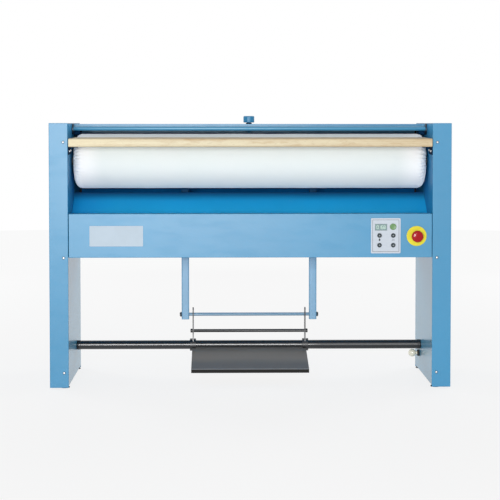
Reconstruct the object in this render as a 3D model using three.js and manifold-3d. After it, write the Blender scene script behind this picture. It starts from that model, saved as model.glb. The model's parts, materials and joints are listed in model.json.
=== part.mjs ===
// Flatwork ironer: a padded roll turns against a heated chest that hangs behind it.
// A foot pedal closes the chest on the roll, a wooden board feeds the linen over the roll's top,
// and the linen drops into a tray behind the front panel.
// Millimetres. X to the right, Y to the rear, Z up. The origin is on the floor, in the middle.
import * as THREE from 'three';
import { mergeVertices } from 'three/addons/utils/BufferGeometryUtils.js';
import Module from 'manifold-3d';

const wasm = await Module();
wasm.setup();

// ---------------------------------------------------------------- driving dimensions

// Fits
const seatGap = 0.3; // between two pieces that rest on each other
const runGap = 0.4; // on the radius of a shaft in its bore

// Body. Y is counted rearwards from the front face of the side casings.
const bodyWidth = 1646;
const bodyDepth = 545;
const bodyHeight = 1088;
const casingWidth = 77;
const casingSheet = 2;
const casingLift = 3; // the casing's lower edge over the floor
const wallSheet = 3;
const wallLift = 10; // the inner wall's lower edge over the floor
const wallFlange = 36; // turned outwards behind the casing's front and rear faces
const wallFootShelf = 46;

// Feet
const footRadius = 20;
const footPadHeight = 7;
const footStudRadius = 5;
const footStudLength = 45;
const footNutHeight = 8;
const footInset = 18; // from the inner wall's face to the foot's centre
const footFromEnds = 30;

// Front panel
const panelHeight = 179.5;
const panelUnderRoll = 96.5; // from the roll's underside down to the panel's top
const panelSideGap = 2.2;
const panelSheet = 2;
const panelReturn = 24; // along the bottom
const panelShelf = 60; // along the top, over the controls
const panelHem = 14;

// Linen tray behind the front panel: its slope rises to the rear, under the roll
const trayBehindAxis = 82; // how far the tray's top edge lies behind the roll's axis
const trayUnderRoll = 21;
const traySlopeDeg = 35;
const traySheet = 2;
const trayEdge = 14;
const trayEdgeLean = 5.6; // how far the turned edge leans to the rear

// Rear panel, underside and top cover
const rearVentCount = 6;
const rearVentLength = 120;
const rearVentHeight = 8;
const rearVentPitch = 205;
const rearVentRows = 2;
const rearVentRowPitch = 34;
const rearVentFromTop = 90;
const coverFrontY = 232;
const coverDrop = 3.5; // under the casings' lids
const coverFlange = 22;
const coverKnobY = 422;
const armSlotRoom = 4; // round an arm and its swing

// Knob on the top cover
const topKnobRadius = 24;
const topKnobHeight = 28;
const topKnobLobes = 6;
const topKnobLobeRadius = 3;
const topKnobLobeOut = 1; // from the knob's edge out to a flute's middle
const topKnobEdge = 3;
const topKnobNeckRadius = 9;
const topKnobNeckHeight = 6;
const spindleRadius = 6;
const spindleLength = 70;
const spindleNutRadius = 14;
const spindleNutHeight = 12;

// Feed board
const boardSideGap = 3.5;
const boardFrontY = -17;
const boardRollGap = 8.1;
const boardThickness = 34;
const boardUnderTop = 53; // its underside, below the roll's top
const boardTiltDeg = 2.4;
const boardNose = 5;
const boardEndCut = 22; // how much shorter each end is at the rear than at the front
const bracketSheet = 4;
const bracketHeight = 34;
const bracketLength = 88;
const bracketShelf = 40;
const bracketFrontY = 8;

// Finger guard over the roll's nip
const guardFromAxis = 10; // how far the tube lies in front of the roll's axis
const guardOverRoll = 21;
const guardRadius = 8.7;
const guardDiscRadius = 23;
const guardDiscWidth = 5;
const guardPinBack = 12; // from the tube's middle to the discs' pins
const guardPinDrop = 2.5;
const guardPinLength = 15; // through the inner wall
const guardPinRadius = 6;
const guardWallGap = 1.2;

// Roll
const rollY = 200;
const rollUnderTop = 44; // from the casings' lids down to the roll's top
const rollRadius = 115;
const rollSideGap = 7;
const paddingThickness = 17;
const paddingDraw = 30; // how far along the roll its ends are drawn in
const paddingHoleGap = 8; // round the journal's boss
const paddingHem = 10; // flat ring round that hole
const paddingOverCore = 10; // over the core's end, at its edge
const coreWall = 4;
const rollEndDisc = 8;
const rollEndInset = 12;
const journalRadius = 17.5;
const journalBossRadius = 32;
const journalBossLength = 14;
const rollEndHoles = 6;
const rollEndHoleRadius = 18;
const rollEndHolePitchRadius = 62;
const journalBeyondWall = 23; // at the left, where no sprocket sits on it

// Roll bearings on the outside of the inner walls
const bearingFlangeRadius = 45;
const bearingFlangeWidth = 9;
const bearingHubRadius = 29;
const bearingHubWidth = 20;
const wallBoreGap = 3;

// Chain drive in the right-hand casing
const chainPitch = 25.4;
const chainRollerRadius = 6.5;
const chainRollerWidth = 11;
const chainPlate = 3;
const chainPlateHalfHeight = 8;
const rollTeeth = 16;
const motorTeeth = 8;
const sprocketWidth = 9;
const sprocketFromWall = 38; // from the inner wall's back to the teeth's middle
const sprocketHub = 12;
const sprocketHubRadius = 27;
const driveSpanGoal = 330; // distance between the two axes before the chain is fitted
const driveAngleDeg = -55; // direction from the roll's axis to the motor's, seen along X
const toothRelief = 0.8;
const toothTip = 2; // how far the teeth stand out of the pitch circle

// Gearmotor
const motorShaftRadius = 12;
const motorRadius = 62;
const motorLength = 175;
const motorFins = 10;
const motorFinHeight = 5;
const motorFinWidth = 3;
const gearboxWidth = 60;
const gearboxHeight = 150;
const gearboxDepth = 120;
const motorFlangeWidth = 8;
const gearboxCorner = 18;
const motorCapLength = 28;
const motorCapEdge = 8;
const motorFinFromBox = 12;
const motorFinFromCap = 12;

// Heated chest. It is drawn in its open place, at rest.
const pivotBehindAxis = 70;
const pivotOverRoll = 8;
const shoeGap = 0.8; // left between the closed shoe and the padding
const shoeThickness = 9;
const shoeSideGap = 26;
const shoeTopDeg = 52;
const shoeBottomDeg = -64;
const shoeLipRadius = 5;
const chestCoverFromRoll = 50;
const chestCoverSheet = 2;
const chestCoverEdgeDeg = 1.2;
const chestCoverTopDeg = 46;
const chestCoverBottomDeg = -48;
const heaterRadius = 6.5;
const heaterFromRoll = 31;
const heaterAnglesDeg = [-24, 18];
const hangerPlate = 6;
const hangerEyeRadius = 21;
const pivotPinRadius = 9;
const pivotHeadRadius = 16;
const pivotHeadWidth = 9;
const pivotPinInside = 2; // how far the pin passes the hanger's inner face

// Arms that carry the pedal's pull up to the chest
const armX = 276;
const armWidth = 32;
const armDepth = 30;
const armCorner = 5;
const armBehindRoll = 54; // from the roll's surface to the arm's middle
const armUnderRod = 21.2;
const armOverAxis = 16; // its top, over the roll's axis

// Tie rod between the arms, through the slots of the pedal's levers
const tieRodZ = 259.7;
const tieRodRadius = 7;
const tieRodStud = 2.2; // past the nuts
const tieNutRadius = 11;
const tieNutWidth = 6;

// Pedal
const tubeRadius = 19.2;
const tubeWall = 3;
const tubeZ = 127.2;
const tubeCollarRadius = 20.4;
const tubeCollarWidth = 16;
const leverX = 242.5;
const leverPlate = 5;
const leverTopZ = 290.5;
const leverWidth = 30;
const leverFootWidth = 46;
const leverToeBack = 30; // from the plate's front edge
const leverToeHeight = 14;
const hubRadius = 27;
const hubWidth = 26;
const slotLength = 8; // how far the slot is longer than the rod is thick
const slotSideGap = 1.2;
const pedalDownDeg = 8;
const pedalBeyondLever = 4;
const pedalFrontY = 101;
const pedalFrontZ = 62;
const pedalRearZ = 115;
const pedalSheet = 3;
const pedalLip = 16;
const pedalRearGap = 3;
const barRadius = 6.8;
const barZ = 188;
const barBeyondLever = 9;
const barCapRadius = 8.5;
const barCapWidth = 9;

// Knob low on the right inner wall
const sideKnobY = 405;
const sideKnobZ = 84;
const sideKnobRadius = 17;
const sideKnobNeckRadius = 7;
const sideKnobNeckLength = 6;
const sideKnobSpindle = 14; // beyond the inner wall
const sideKnobBaseRadius = 15;
const sideKnobBaseWidth = 9;

// Controls
const plateFromWall = 131.6; // from the inner wall's face to the plate's right edge
const plateFromBottom = 16.7; // from the panel's lower edge to the plate's
const plateWidth = 121.7;
const plateHeight = 144.3;
const plateThickness = 3;
const plateCorner = 4;
// Places on the plate are counted from its left edge to the right, and from its top edge down.
const displayOnPlate = [41.4, 37];
const displaySize = [49, 26];
const displayDepth = 9;
const startOnPlate = [91, 35.2];
const startRadius = 13;
const buttonRadius = 9;
const firstButtonOnPlate = [35.3, 71];
const buttonPitch = [56.5, 40];
const buttonNames = ['button_upper_left', 'button_upper_right', 'button_lower_left', 'button_lower_right'];
const buttonProud = 4;
const buttonEdge = 1.6;
const buttonStemRadius = 4;
const buttonStemLength = 17;
const buttonGap = 0.5;
const guideWall = 3;
const guideOverlap = 5; // how much of a stem its guide holds at rest
const guideDepth = 14;
const boxMargin = 7; // from the control plate's edge to the hole in the panel
const boxDepth = 55;
const boxSheet = 2;
const stopFromWall = 65.6;
const stopFromBottom = 87.7;
const stopDiscRadius = 41;
const stopDiscThickness = 3;
const stopHeadRadius = 23.75;
const stopHeadDepth = 20;
const stopHeadRim = 5; // the straight part of its edge
const stopCollarRadius = 13;
const stopCollarDepth = 6;
const stopProud = 40;
const stopStemRadius = 8;
const stopBoreGap = 2.6; // round the stem in the disc and the panel
const stopTravel = 6;
const stopBlock = [44, 44, 50];
const stopBlockFloor = 3;

// ---------------------------------------------------------------- places worked out from them

const outerX = bodyWidth / 2;
const wallX = outerX - casingWidth; // the inner walls' faces towards the roll
const wallBackX = wallX + wallSheet;
const panelHalf = wallX - panelSideGap;
const coverTop = bodyHeight - coverDrop;

const rollTop = bodyHeight - rollUnderTop;
const rollZ = rollTop - rollRadius;
const rollUnderside = rollZ - rollRadius;
const rollHalf = wallX - rollSideGap;
const coreRadius = rollRadius - paddingThickness;
// Each end of the padding is a quarter ellipse, from a flat ring round its hole out to the roll's surface.
const paddingHole = journalBossRadius + paddingHoleGap;
const drawRadius = paddingHole + paddingHem;
const drawnIn = (radius) => paddingDraw
  * (1 - Math.sqrt(1 - ((radius - drawRadius) / (rollRadius - drawRadius)) ** 2));
const coreHalf = rollHalf - drawnIn(coreRadius) - paddingOverCore;
const sprocketX = wallBackX + sprocketFromWall;
const sprocketEnd = sprocketX + sprocketWidth / 2 + sprocketHub;

const guardY = rollY - guardFromAxis;
const guardZ = rollTop + guardOverRoll;
const guardPin = [guardY + guardPinBack, guardZ - guardPinDrop];
const boardBottomZ = rollTop - boardUnderTop;
const boardRearY = rollY - Math.sqrt(rollRadius ** 2 - (boardBottomZ - rollZ) ** 2) - boardRollGap;

const panelTop = rollUnderside - panelUnderRoll;
const panelBottom = panelTop - panelHeight;
const trayRearY = rollY + trayBehindAxis;
const trayRearZ = rollUnderside - trayUnderRoll;

const chestPivotY = rollY + pivotBehindAxis;
const chestPivotZ = rollTop + pivotOverRoll;
const chestCoverRadius = rollRadius + chestCoverFromRoll;
const heaterRingRadius = rollRadius + heaterFromRoll;
const armY = rollY + rollRadius + armBehindRoll;
const armTopZ = rollZ + armOverAxis;
const tubeY = armY;

const plateRight = wallX - plateFromWall;
const plateLeft = plateRight - plateWidth;
const plateBottom = panelBottom + plateFromBottom;
const plateTop = plateBottom + plateHeight;
const onPlate = ([right, down]) => [plateLeft + right, plateTop - down];
const displayCentre = onPlate(displayOnPlate);
const startCentre = onPlate(startOnPlate);
const buttonCentres = buttonNames.map((_, i) => onPlate([
  firstButtonOnPlate[0] + (i % 2) * buttonPitch[0],
  firstButtonOnPlate[1] + Math.floor(i / 2) * buttonPitch[1],
]));
const stopCentre = [wallX - stopFromWall, panelBottom + stopFromBottom];

const rad = (degrees) => (degrees * Math.PI) / 180;
// The tie rod goes as far with the pedal's levers as with the chest's arms.
const openTurn = (rad(pedalDownDeg) * (tieRodZ - tubeZ)) / (chestPivotZ - tieRodZ);
// The shoe's centre of curvature lies on the roll's axis when the chest is closed.
const shoeCentreY = chestPivotY + (rollY - chestPivotY) * Math.cos(openTurn)
  - (rollZ - chestPivotZ) * Math.sin(openTurn);
const shoeCentreZ = chestPivotZ + (rollY - chestPivotY) * Math.sin(openTurn)
  + (rollZ - chestPivotZ) * Math.cos(openTurn);

// ---------------------------------------------------------------- tools

const large = 40; // facets of the roll
const round = 20; // facets of a round piece
const small = 12; // facets of a small one

// Merges the vertices of a three.js geometry and makes it a solid with its faces outwards.
function solid(geometry) {
  const bare = new THREE.BufferGeometry();
  bare.setAttribute('position', geometry.getAttribute('position').clone());
  if (geometry.index) bare.setIndex(geometry.index.clone());
  const merged = mergeVertices(bare, 1e-4);
  const place = merged.getAttribute('position').array;
  const source = merged.index.array;
  const corners = [];
  let volume = 0;
  for (let i = 0; i < source.length; i += 3) {
    const [a, b, c] = [source[i], source[i + 1], source[i + 2]];
    if (a === b || b === c || c === a) continue;
    corners.push(a, b, c);
    const [p, q, r] = [a, b, c].map((n) => new THREE.Vector3().fromArray(place, 3 * n));
    volume += p.dot(q.cross(r));
  }
  if (volume < 0) corners.reverse();
  const mesh = { numProp: 3, vertProperties: Float32Array.from(place), triVerts: Uint32Array.from(corners) };
  return new wasm.Manifold(new wasm.Mesh(mesh));
}

const join = (first, ...others) => others.reduce((whole, piece) => whole.add(piece), first);
const cut = (first, ...others) => others.reduce((whole, piece) => whole.subtract(piece), first);
const ordered = (a, b) => [Math.min(a, b), Math.max(a, b)];
const onSide = (side, a, b) => ordered(side * a, side * b);

// A block between two values on each axis.
function block(xs, ys, zs) {
  const size = [xs, ys, zs].map(([low, high]) => high - low);
  const middle = [xs, ys, zs].map(([low, high]) => (low + high) / 2);
  return solid(new THREE.BoxGeometry(...size).translate(...middle));
}

// A closed outline of straight lines, with its holes, drawn out to a length.
function drawnOut(points, length, holes = []) {
  const vectors = (list) => list.map(([u, v]) => new THREE.Vector2(u, v));
  const shape = new THREE.Shape(vectors(points));
  holes.forEach((hole) => shape.holes.push(new THREE.Path(vectors(hole))));
  return new THREE.ExtrudeGeometry(shape, { depth: length, bevelEnabled: false });
}

// The outline's points are (Y, Z), and it is drawn out along X.
function alongX(points, [low, high], holes) {
  const form = drawnOut(points, high - low, holes);
  const turn = new THREE.Matrix4().set(0, 0, 1, low, 1, 0, 0, 0, 0, 1, 0, 0, 0, 0, 0, 1);
  return solid(form.applyMatrix4(turn));
}

// The outline's points are (X, Z), and it is drawn out along Y.
function alongY(points, [low, high], holes) {
  const form = drawnOut(points, high - low, holes);
  return solid(form.rotateX(Math.PI / 2).translate(0, high, 0));
}

// The outline's points are (X, Y), and it is drawn out along Z.
function alongZ(points, [low, high], holes) {
  const form = drawnOut(points, high - low, holes);
  return solid(form.translate(0, 0, low));
}

// Points of a circle's arc, both ends included.
function arc([u, v], radius, fromDeg, toDeg, steps) {
  return Array.from({ length: steps + 1 }, (_, i) => {
    const angle = rad(fromDeg + ((toDeg - fromDeg) * i) / steps);
    return [u + radius * Math.cos(angle), v + radius * Math.sin(angle)];
  });
}

const circle = (centre, radius, steps) => arc(centre, radius, 0, 360, steps).slice(0, -1);
const rodX = (span, [y, z], radius, facets = small) => alongX(circle([y, z], radius, facets), span);
const rodY = (span, [x, z], radius, facets = small) => alongY(circle([x, z], radius, facets), span);
const rodZ = (span, [x, y], radius, facets = small) => alongZ(circle([x, y], radius, facets), span);

// A profile of (along, radius) points turned about an axis. It ends on the axis or closes on itself.
function turned(profile, facets) {
  return new THREE.LatheGeometry(profile.map(([along, radius]) => new THREE.Vector2(radius, along)), facets);
}
const turnedX = (profile, [y, z], facets = round) => solid(turned(profile, facets).rotateZ(-Math.PI / 2)
  .translate(0, y, z));
const turnedY = (profile, [x, z], facets = round) => solid(turned(profile, facets).translate(x, 0, z));
const turnedZ = (profile, [x, y], facets = round) => solid(turned(profile, facets).rotateX(Math.PI / 2)
  .translate(x, y, 0));

// A rectangle with round corners, as (u, v) points.
function roundedRectangle([left, right], [bottom, top], radius, steps = 3) {
  return [
    ...arc([right - radius, top - radius], radius, 0, 90, steps),
    ...arc([left + radius, top - radius], radius, 90, 180, steps),
    ...arc([left + radius, bottom + radius], radius, 180, 270, steps),
    ...arc([right - radius, bottom + radius], radius, 270, 360, steps),
  ];
}

// The outline of bent sheet: a line of points, and the same line set off to its left by the thickness.
function bentSheet(points, thickness) {
  const vectors = points.map(([u, v]) => new THREE.Vector2(u, v));
  const normals = vectors.slice(1).map((end, i) => {
    const run = end.clone().sub(vectors[i]).normalize();
    return new THREE.Vector2(-run.y, run.x);
  });
  const offset = vectors.map((point, i) => {
    const before = normals[Math.max(i - 1, 0)];
    const after = normals[Math.min(i, normals.length - 1)];
    const mitre = before.clone().add(after).normalize();
    const reach = thickness / Math.max(mitre.dot(after), 0.2);
    return [point.x + mitre.x * reach, point.y + mitre.y * reach];
  });
  return [...points, ...offset.reverse()];
}

const ironer = new THREE.Group();
ironer.position.y = -(bodyDepth - stopProud) / 2; // centres the whole depth, stop button included

const finishes = {
  bluePaint: { color: 0x5fa5d7, roughness: 0.35, metalness: 0 },
  darkBlue: { color: 0x2f6f9f, roughness: 0.5, metalness: 0 },
  blackPaint: { color: 0x26282b, roughness: 0.35, metalness: 0.1 },
  pedalGrey: { color: 0x5a5a5b, roughness: 0.5, metalness: 0.3 },
  zinc: { color: 0xb9bcc0, roughness: 0.35, metalness: 0.9 },
  steel: { color: 0x8d9196, roughness: 0.35, metalness: 0.9 },
  aluminium: { color: 0xc8cacd, roughness: 0.3, metalness: 0.9 },
  beech: { color: 0xe6d3ac, roughness: 0.5, metalness: 0 },
  padding: { color: 0xeaf0f5, roughness: 0.95, metalness: 0 },
  rubber: { color: 0x1c1c1d, roughness: 0.8, metalness: 0 },
  castGrey: { color: 0x6d7074, roughness: 0.6, metalness: 0.2 },
  plateSilver: { color: 0xc9ced2, roughness: 0.4, metalness: 0.4 },
  display: { color: 0x8b988f, roughness: 0.2, metalness: 0 },
  green: { color: 0x58a55c, roughness: 0.4, metalness: 0 },
  buttonBlack: { color: 0x2b3a44, roughness: 0.4, metalness: 0 },
  yellow: { color: 0xe8c53a, roughness: 0.4, metalness: 0 },
  red: { color: 0xcc2b2b, roughness: 0.3, metalness: 0 },
  cream: { color: 0xeee6d2, roughness: 0.35, metalness: 0 },
};
const materials = Object.fromEntries(Object.entries(finishes)
  .map(([name, look]) => [name, new THREE.MeshStandardMaterial(look)]));

// Adds a solid to the ironer as a named mesh.
function addPart(name, form, finish) {
  const { vertProperties, triVerts } = form.getMesh();
  const geometry = new THREE.BufferGeometry();
  geometry.setAttribute('position', new THREE.BufferAttribute(new Float32Array(vertProperties), 3));
  geometry.setIndex(new THREE.BufferAttribute(new Uint32Array(triVerts), 1));
  geometry.computeVertexNormals();
  const mesh = new THREE.Mesh(geometry, materials[finish]);
  mesh.name = name;
  ironer.add(mesh);
}

const sides = [['left', -1], ['right', 1]];
const bothEnds = [-1, 1];

// ---------------------------------------------------------------- body

// Side casing: bent sheet round the front, the outside and the rear, with a lid, open to the inside.
function sideCasing(side) {
  const plan = bentSheet([
    [side * wallX, 0],
    [side * outerX, 0],
    [side * outerX, bodyDepth],
    [side * wallX, bodyDepth],
  ], side * casingSheet);
  const shell = alongZ(plan, [casingLift, bodyHeight]);
  const lid = block(onSide(side, wallX, outerX), [0, bodyDepth], [bodyHeight - casingSheet, bodyHeight]);
  return join(shell, lid);
}

const footPlaces = [footFromEnds, bodyDepth - footFromEnds];
const footX = wallX + footInset;

// Inner wall: a plate with flanges turned outwards, and the holes for what it carries.
function innerWall(side) {
  const inset = casingSheet + seatGap;
  const plan = bentSheet([
    [side * (wallX + wallFlange), inset],
    [side * wallX, inset],
    [side * wallX, bodyDepth - inset],
    [side * (wallX + wallFlange), bodyDepth - inset],
  ], -side * wallSheet);
  const top = bodyHeight - casingSheet - seatGap;
  const plate = alongZ(plan, [wallLift, top]);
  const shelf = block(onSide(side, wallX, wallX + wallFootShelf), [inset, bodyDepth - inset],
    [wallLift, wallLift + wallSheet]);
  const through = onSide(side, wallX - 1, wallBackX + 1);
  const holes = [
    rodX(through, [rollY, rollZ], journalRadius + wallBoreGap, round),
    rodX(through, [chestPivotY, chestPivotZ], pivotPinRadius + seatGap),
    rodX(through, guardPin, guardPinRadius + runGap),
    ...footPlaces.map((y) => rodZ([wallLift - 1, wallLift + wallSheet + 1], [side * footX, y],
      footStudRadius + seatGap, 12)),
  ];
  if (side > 0) {
    holes.push(rodX(through, [motorY, motorZ], motorShaftRadius + wallBoreGap, round));
    holes.push(rodX(through, [sideKnobY, sideKnobZ], spindleRadius + runGap));
  }
  return cut(join(plate, shelf), ...holes);
}

// Levelling foot: a rubber-coloured pad with its stud and the nut that stands on the pad.
function foot(side, y) {
  const under = wallLift - seatGap;
  return turnedZ([
    [0, 0],
    [0, footRadius - 1],
    [footPadHeight * 0.4, footRadius],
    [footPadHeight, footRadius * 0.7],
    [footPadHeight, footNutHeight],
    [under, footNutHeight],
    [under, footStudRadius],
    [footStudLength, footStudRadius],
    [footStudLength, 0],
  ], [side * footX, y], small);
}

// Front panel: bent sheet with a return along the bottom and the top, and its two cut-outs.
function frontPanel() {
  const section = bentSheet([
    [panelReturn, panelBottom],
    [0, panelBottom],
    [0, panelTop],
    [panelShelf, panelTop],
    [panelShelf, panelTop - panelHem],
  ], -panelSheet);
  const panel = alongX(section, [-panelHalf, panelHalf]);
  const ends = bothEnds.map((side) => block(onSide(side, panelHalf - panelSheet, panelHalf),
    [0, panelReturn / 2], [panelBottom, panelTop]));
  const boxHole = block([plateLeft + boxMargin, plateRight - boxMargin], [-1, panelSheet + 1],
    [plateBottom + boxMargin, plateTop - boxMargin]);
  const stopHole = rodY([-1, panelSheet + 1], stopCentre, stopStemRadius + stopBoreGap, 24);
  return cut(join(panel, ...ends), boxHole, stopHole);
}

// Linen tray: a front wall that seats behind the panel's hem, and a slope that rises to the rear
// under the roll and ends in a turned edge. Its ends meet the inner walls.
function linenTray() {
  const frontY = panelShelf + seatGap + traySheet;
  const slope = Math.tan(rad(traySlopeDeg));
  const section = bentSheet([
    [frontY, panelTop - panelSheet - seatGap],
    [frontY, trayRearZ - (trayRearY - frontY) * slope],
    [trayRearY, trayRearZ],
    [trayRearY + trayEdgeLean, trayRearZ - trayEdge],
  ], -traySheet);
  return alongX(section, [-(wallX - seatGap), wallX - seatGap]);
}

// Rear panel with rows of vent slots near its top.
function rearPanel() {
  const inset = casingSheet + seatGap;
  const high = coverTop - casingSheet - seatGap;
  const outline = [
    [-panelHalf, panelBottom],
    [panelHalf, panelBottom],
    [panelHalf, high],
    [-panelHalf, high],
  ];
  const vents = [];
  for (let row = 0; row < rearVentRows; row += 1) {
    for (let i = 0; i < rearVentCount; i += 1) {
      const x = (i - (rearVentCount - 1) / 2) * rearVentPitch;
      const z = high - rearVentFromTop - row * rearVentRowPitch;
      vents.push(roundedRectangle([x - rearVentLength / 2, x + rearVentLength / 2],
        [z - rearVentHeight / 2, z + rearVentHeight / 2], rearVentHeight / 2 - 1, 1));
    }
  }
  const sheet = alongY(outline, [bodyDepth - inset - panelSheet, bodyDepth - inset], vents);
  const foldLow = block([-panelHalf, panelHalf], [bodyDepth - inset - panelReturn, bodyDepth - inset],
    [panelBottom, panelBottom + panelSheet]);
  return join(sheet, foldLow);
}

// Underside of the body, with a slot round each arm that leaves room for the arm's swing.
function bottomCover() {
  const front = panelReturn + seatGap;
  const rear = bodyDepth - casingSheet - 2 * seatGap - panelReturn;
  const swing = (chestPivotZ - panelBottom) * openTurn;
  const across = armWidth / 2 + armSlotRoom;
  const along = armDepth / 2 + armSlotRoom;
  const slots = bothEnds.map((side) => roundedRectangle(onSide(side, armX - across, armX + across),
    [armY - along - swing, armY + along], armSlotRoom));
  const half = wallX - seatGap;
  const outline = [[-half, front], [half, front], [half, rear], [-half, rear]];
  return alongZ(outline, [panelBottom, panelBottom + panelSheet], slots);
}

// Top cover: a lid with its front and rear edges turned down.
function topCover() {
  const section = bentSheet([
    [coverFrontY, coverTop - coverFlange],
    [coverFrontY, coverTop],
    [bodyDepth, coverTop],
    [bodyDepth, coverTop - coverFlange],
  ], -casingSheet);
  const lid = alongX(section, [-panelHalf, panelHalf]);
  return cut(lid, rodZ([coverTop - casingSheet - 1, coverTop + 1], [0, coverKnobY], spindleRadius + runGap));
}

// Knob of the chest's pressure stop, with its threaded spindle and the collar under the cover.
function topKnob() {
  const low = coverTop + seatGap;
  const gripLow = low + topKnobNeckHeight;
  const gripHigh = gripLow + topKnobHeight;
  const edge = topKnobEdge;
  const body = turnedZ([
    [low - spindleLength, 0],
    [low - spindleLength, spindleRadius],
    [low, spindleRadius],
    [low, topKnobNeckRadius],
    [gripLow, topKnobNeckRadius],
    [gripLow, topKnobRadius - edge / 2],
    [gripLow + edge / 2, topKnobRadius],
    [gripHigh - edge, topKnobRadius],
    [gripHigh, topKnobRadius - edge],
    [gripHigh, 0],
  ], [0, coverKnobY]);
  const flutes = Array.from({ length: topKnobLobes }, (_, i) => {
    const angle = (2 * Math.PI * i) / topKnobLobes;
    const out = topKnobRadius + topKnobLobeOut;
    const place = [out * Math.cos(angle), coverKnobY + out * Math.sin(angle)];
    return rodZ([gripLow - 1, gripHigh + 1], place, topKnobLobeRadius, 8);
  });
  const collarTop = coverTop - casingSheet - seatGap;
  const collar = rodZ([collarTop - spindleNutHeight, collarTop], [0, coverKnobY], spindleNutRadius, 6);
  return join(cut(body, ...flutes), collar);
}

// ---------------------------------------------------------------- feed side

// Feed board: thick beech with a rounded nose, rising a little to the rear. Its ends are cut obliquely.
function feedBoard() {
  const tilt = Math.tan(rad(boardTiltDeg));
  const rear = boardRearY;
  const low = boardBottomZ;
  const high = boardBottomZ + boardThickness;
  const nose = boardNose;
  const at = (y, z) => [y, z + (y - boardFrontY) * tilt];
  const section = [
    at(rear - nose, low),
    at(rear, low + nose),
    at(rear, high - nose),
    at(rear - nose, high),
    ...arc([boardFrontY + nose, high - nose], nose, 90, 180, 3).map(([y, z]) => at(y, z)),
    ...arc([boardFrontY + nose, low + nose], nose, 180, 270, 3).map(([y, z]) => at(y, z)),
  ];
  const half = wallX - boardSideGap;
  const ends = [-1, 1].map((side) => alongZ([
    [side * half, boardFrontY],
    [side * (half + 1), boardFrontY],
    [side * (half + 1), rear + 1],
    [side * (half - boardEndCut), rear + 1],
  ], [low - boardThickness, high + boardThickness]));
  return cut(alongX(section, [-half, half]), ...ends);
}

// Angle bracket on the inner wall. Its upper leg lies along the underside of the board.
function feedBracket(side) {
  const tilt = Math.tan(rad(boardTiltDeg));
  const from = bracketFrontY;
  const under = (y) => boardBottomZ - seatGap + (y - boardFrontY) * tilt;
  const outline = (drop) => [
    [from, under(from) - drop],
    [from + bracketLength, under(from + bracketLength) - drop],
    [from + bracketLength, under(from + bracketLength)],
    [from, under(from)],
  ];
  const seat = wallX - seatGap;
  const upright = alongX(outline(bracketHeight), onSide(side, seat - bracketSheet, seat));
  const shelf = alongX(outline(bracketSheet), onSide(side, seat - bracketShelf, seat));
  return join(upright, shelf);
}

// Finger guard: a tube between two discs, which turn on pins in the inner walls.
const guardDiscOuter = wallX - guardWallGap;
const guardDiscInner = guardDiscOuter - guardDiscWidth;

function guardTube() {
  const half = guardDiscInner - seatGap;
  return rodX([-half, half], [guardY, guardZ], guardRadius, 20);
}

function guardDisc(side) {
  const disc = rodX(onSide(side, guardDiscInner, guardDiscOuter), guardPin, guardDiscRadius, round);
  const pin = rodX(onSide(side, guardDiscOuter - 1, wallX + guardPinLength), guardPin, guardPinRadius);
  return join(disc, pin);
}

// ---------------------------------------------------------------- roll

function rollCore() {
  const half = coreHalf;
  return turnedX([
    [-half, coreRadius - coreWall],
    [half, coreRadius - coreWall],
    [half, coreRadius],
    [-half, coreRadius],
    [-half, coreRadius - coreWall],
  ], [rollY, rollZ], large);
}

// Padding: a thick sleeve over the core, with ends drawn in over the core's ends.
function rollPadding() {
  const inner = coreRadius + seatGap;
  const coreEnd = coreHalf + seatGap;
  const curve = arc([0, 0], 1, 0, 90, 5).map(([along, out]) => [
    rollHalf - paddingDraw * (1 - along),
    drawRadius + (rollRadius - drawRadius) * out,
  ]);
  const end = [[coreEnd, inner], [coreEnd, paddingHole], [rollHalf, paddingHole], ...curve];
  const otherEnd = end.map(([x, radius]) => [-x, radius]).reverse();
  return turnedX([...end, ...otherEnd, end[0]], [rollY, rollZ], large);
}

// End of the roll: a disc with lightening holes, a boss and the journal that turns in the bearing.
function rollEnd(side, journalEnd) {
  const discOuter = coreHalf - rollEndInset;
  const discRadius = coreRadius - coreWall - seatGap;
  const discInner = discOuter - rollEndDisc;
  const body = turnedX([
    [discInner - journalBossLength, 0],
    [discInner - journalBossLength, journalBossRadius],
    [discInner, journalBossRadius],
    [discInner, discRadius],
    [discOuter, discRadius],
    [discOuter, journalBossRadius],
    [discOuter + journalBossLength, journalBossRadius],
    [discOuter + journalBossLength, journalRadius],
    [journalEnd, journalRadius],
    [journalEnd, 0],
  ].map(([x, r]) => [side * x, r]), [rollY, rollZ], round);
  const holes = circle([rollY, rollZ], rollEndHolePitchRadius, rollEndHoles)
    .map((place) => rodX(onSide(side, discInner - 1, discOuter + 1), place, rollEndHoleRadius, 8));
  return cut(body, ...holes);
}

// Flanged bearing on the casing side of the inner wall.
function rollBearing(side) {
  const start = wallBackX + seatGap;
  const bore = journalRadius + runGap;
  return turnedX([
    [start, bore],
    [start, bearingFlangeRadius],
    [start + bearingFlangeWidth, bearingFlangeRadius],
    [start + bearingFlangeWidth, bearingHubRadius + 3],
    [start + bearingHubWidth, bearingHubRadius],
    [start + bearingHubWidth, bore],
    [start, bore],
  ].map(([x, r]) => [side * x, r]), [rollY, rollZ], round);
}

// ---------------------------------------------------------------- chain drive

// The pitch circles have one pitch of arc for each tooth, and the distance between the two axes is
// fitted so that the chain holds a whole and even number of links.
const rollPitchRadius = (rollTeeth * chainPitch) / (2 * Math.PI);
const motorPitchRadius = (motorTeeth * chainPitch) / (2 * Math.PI);

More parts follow.
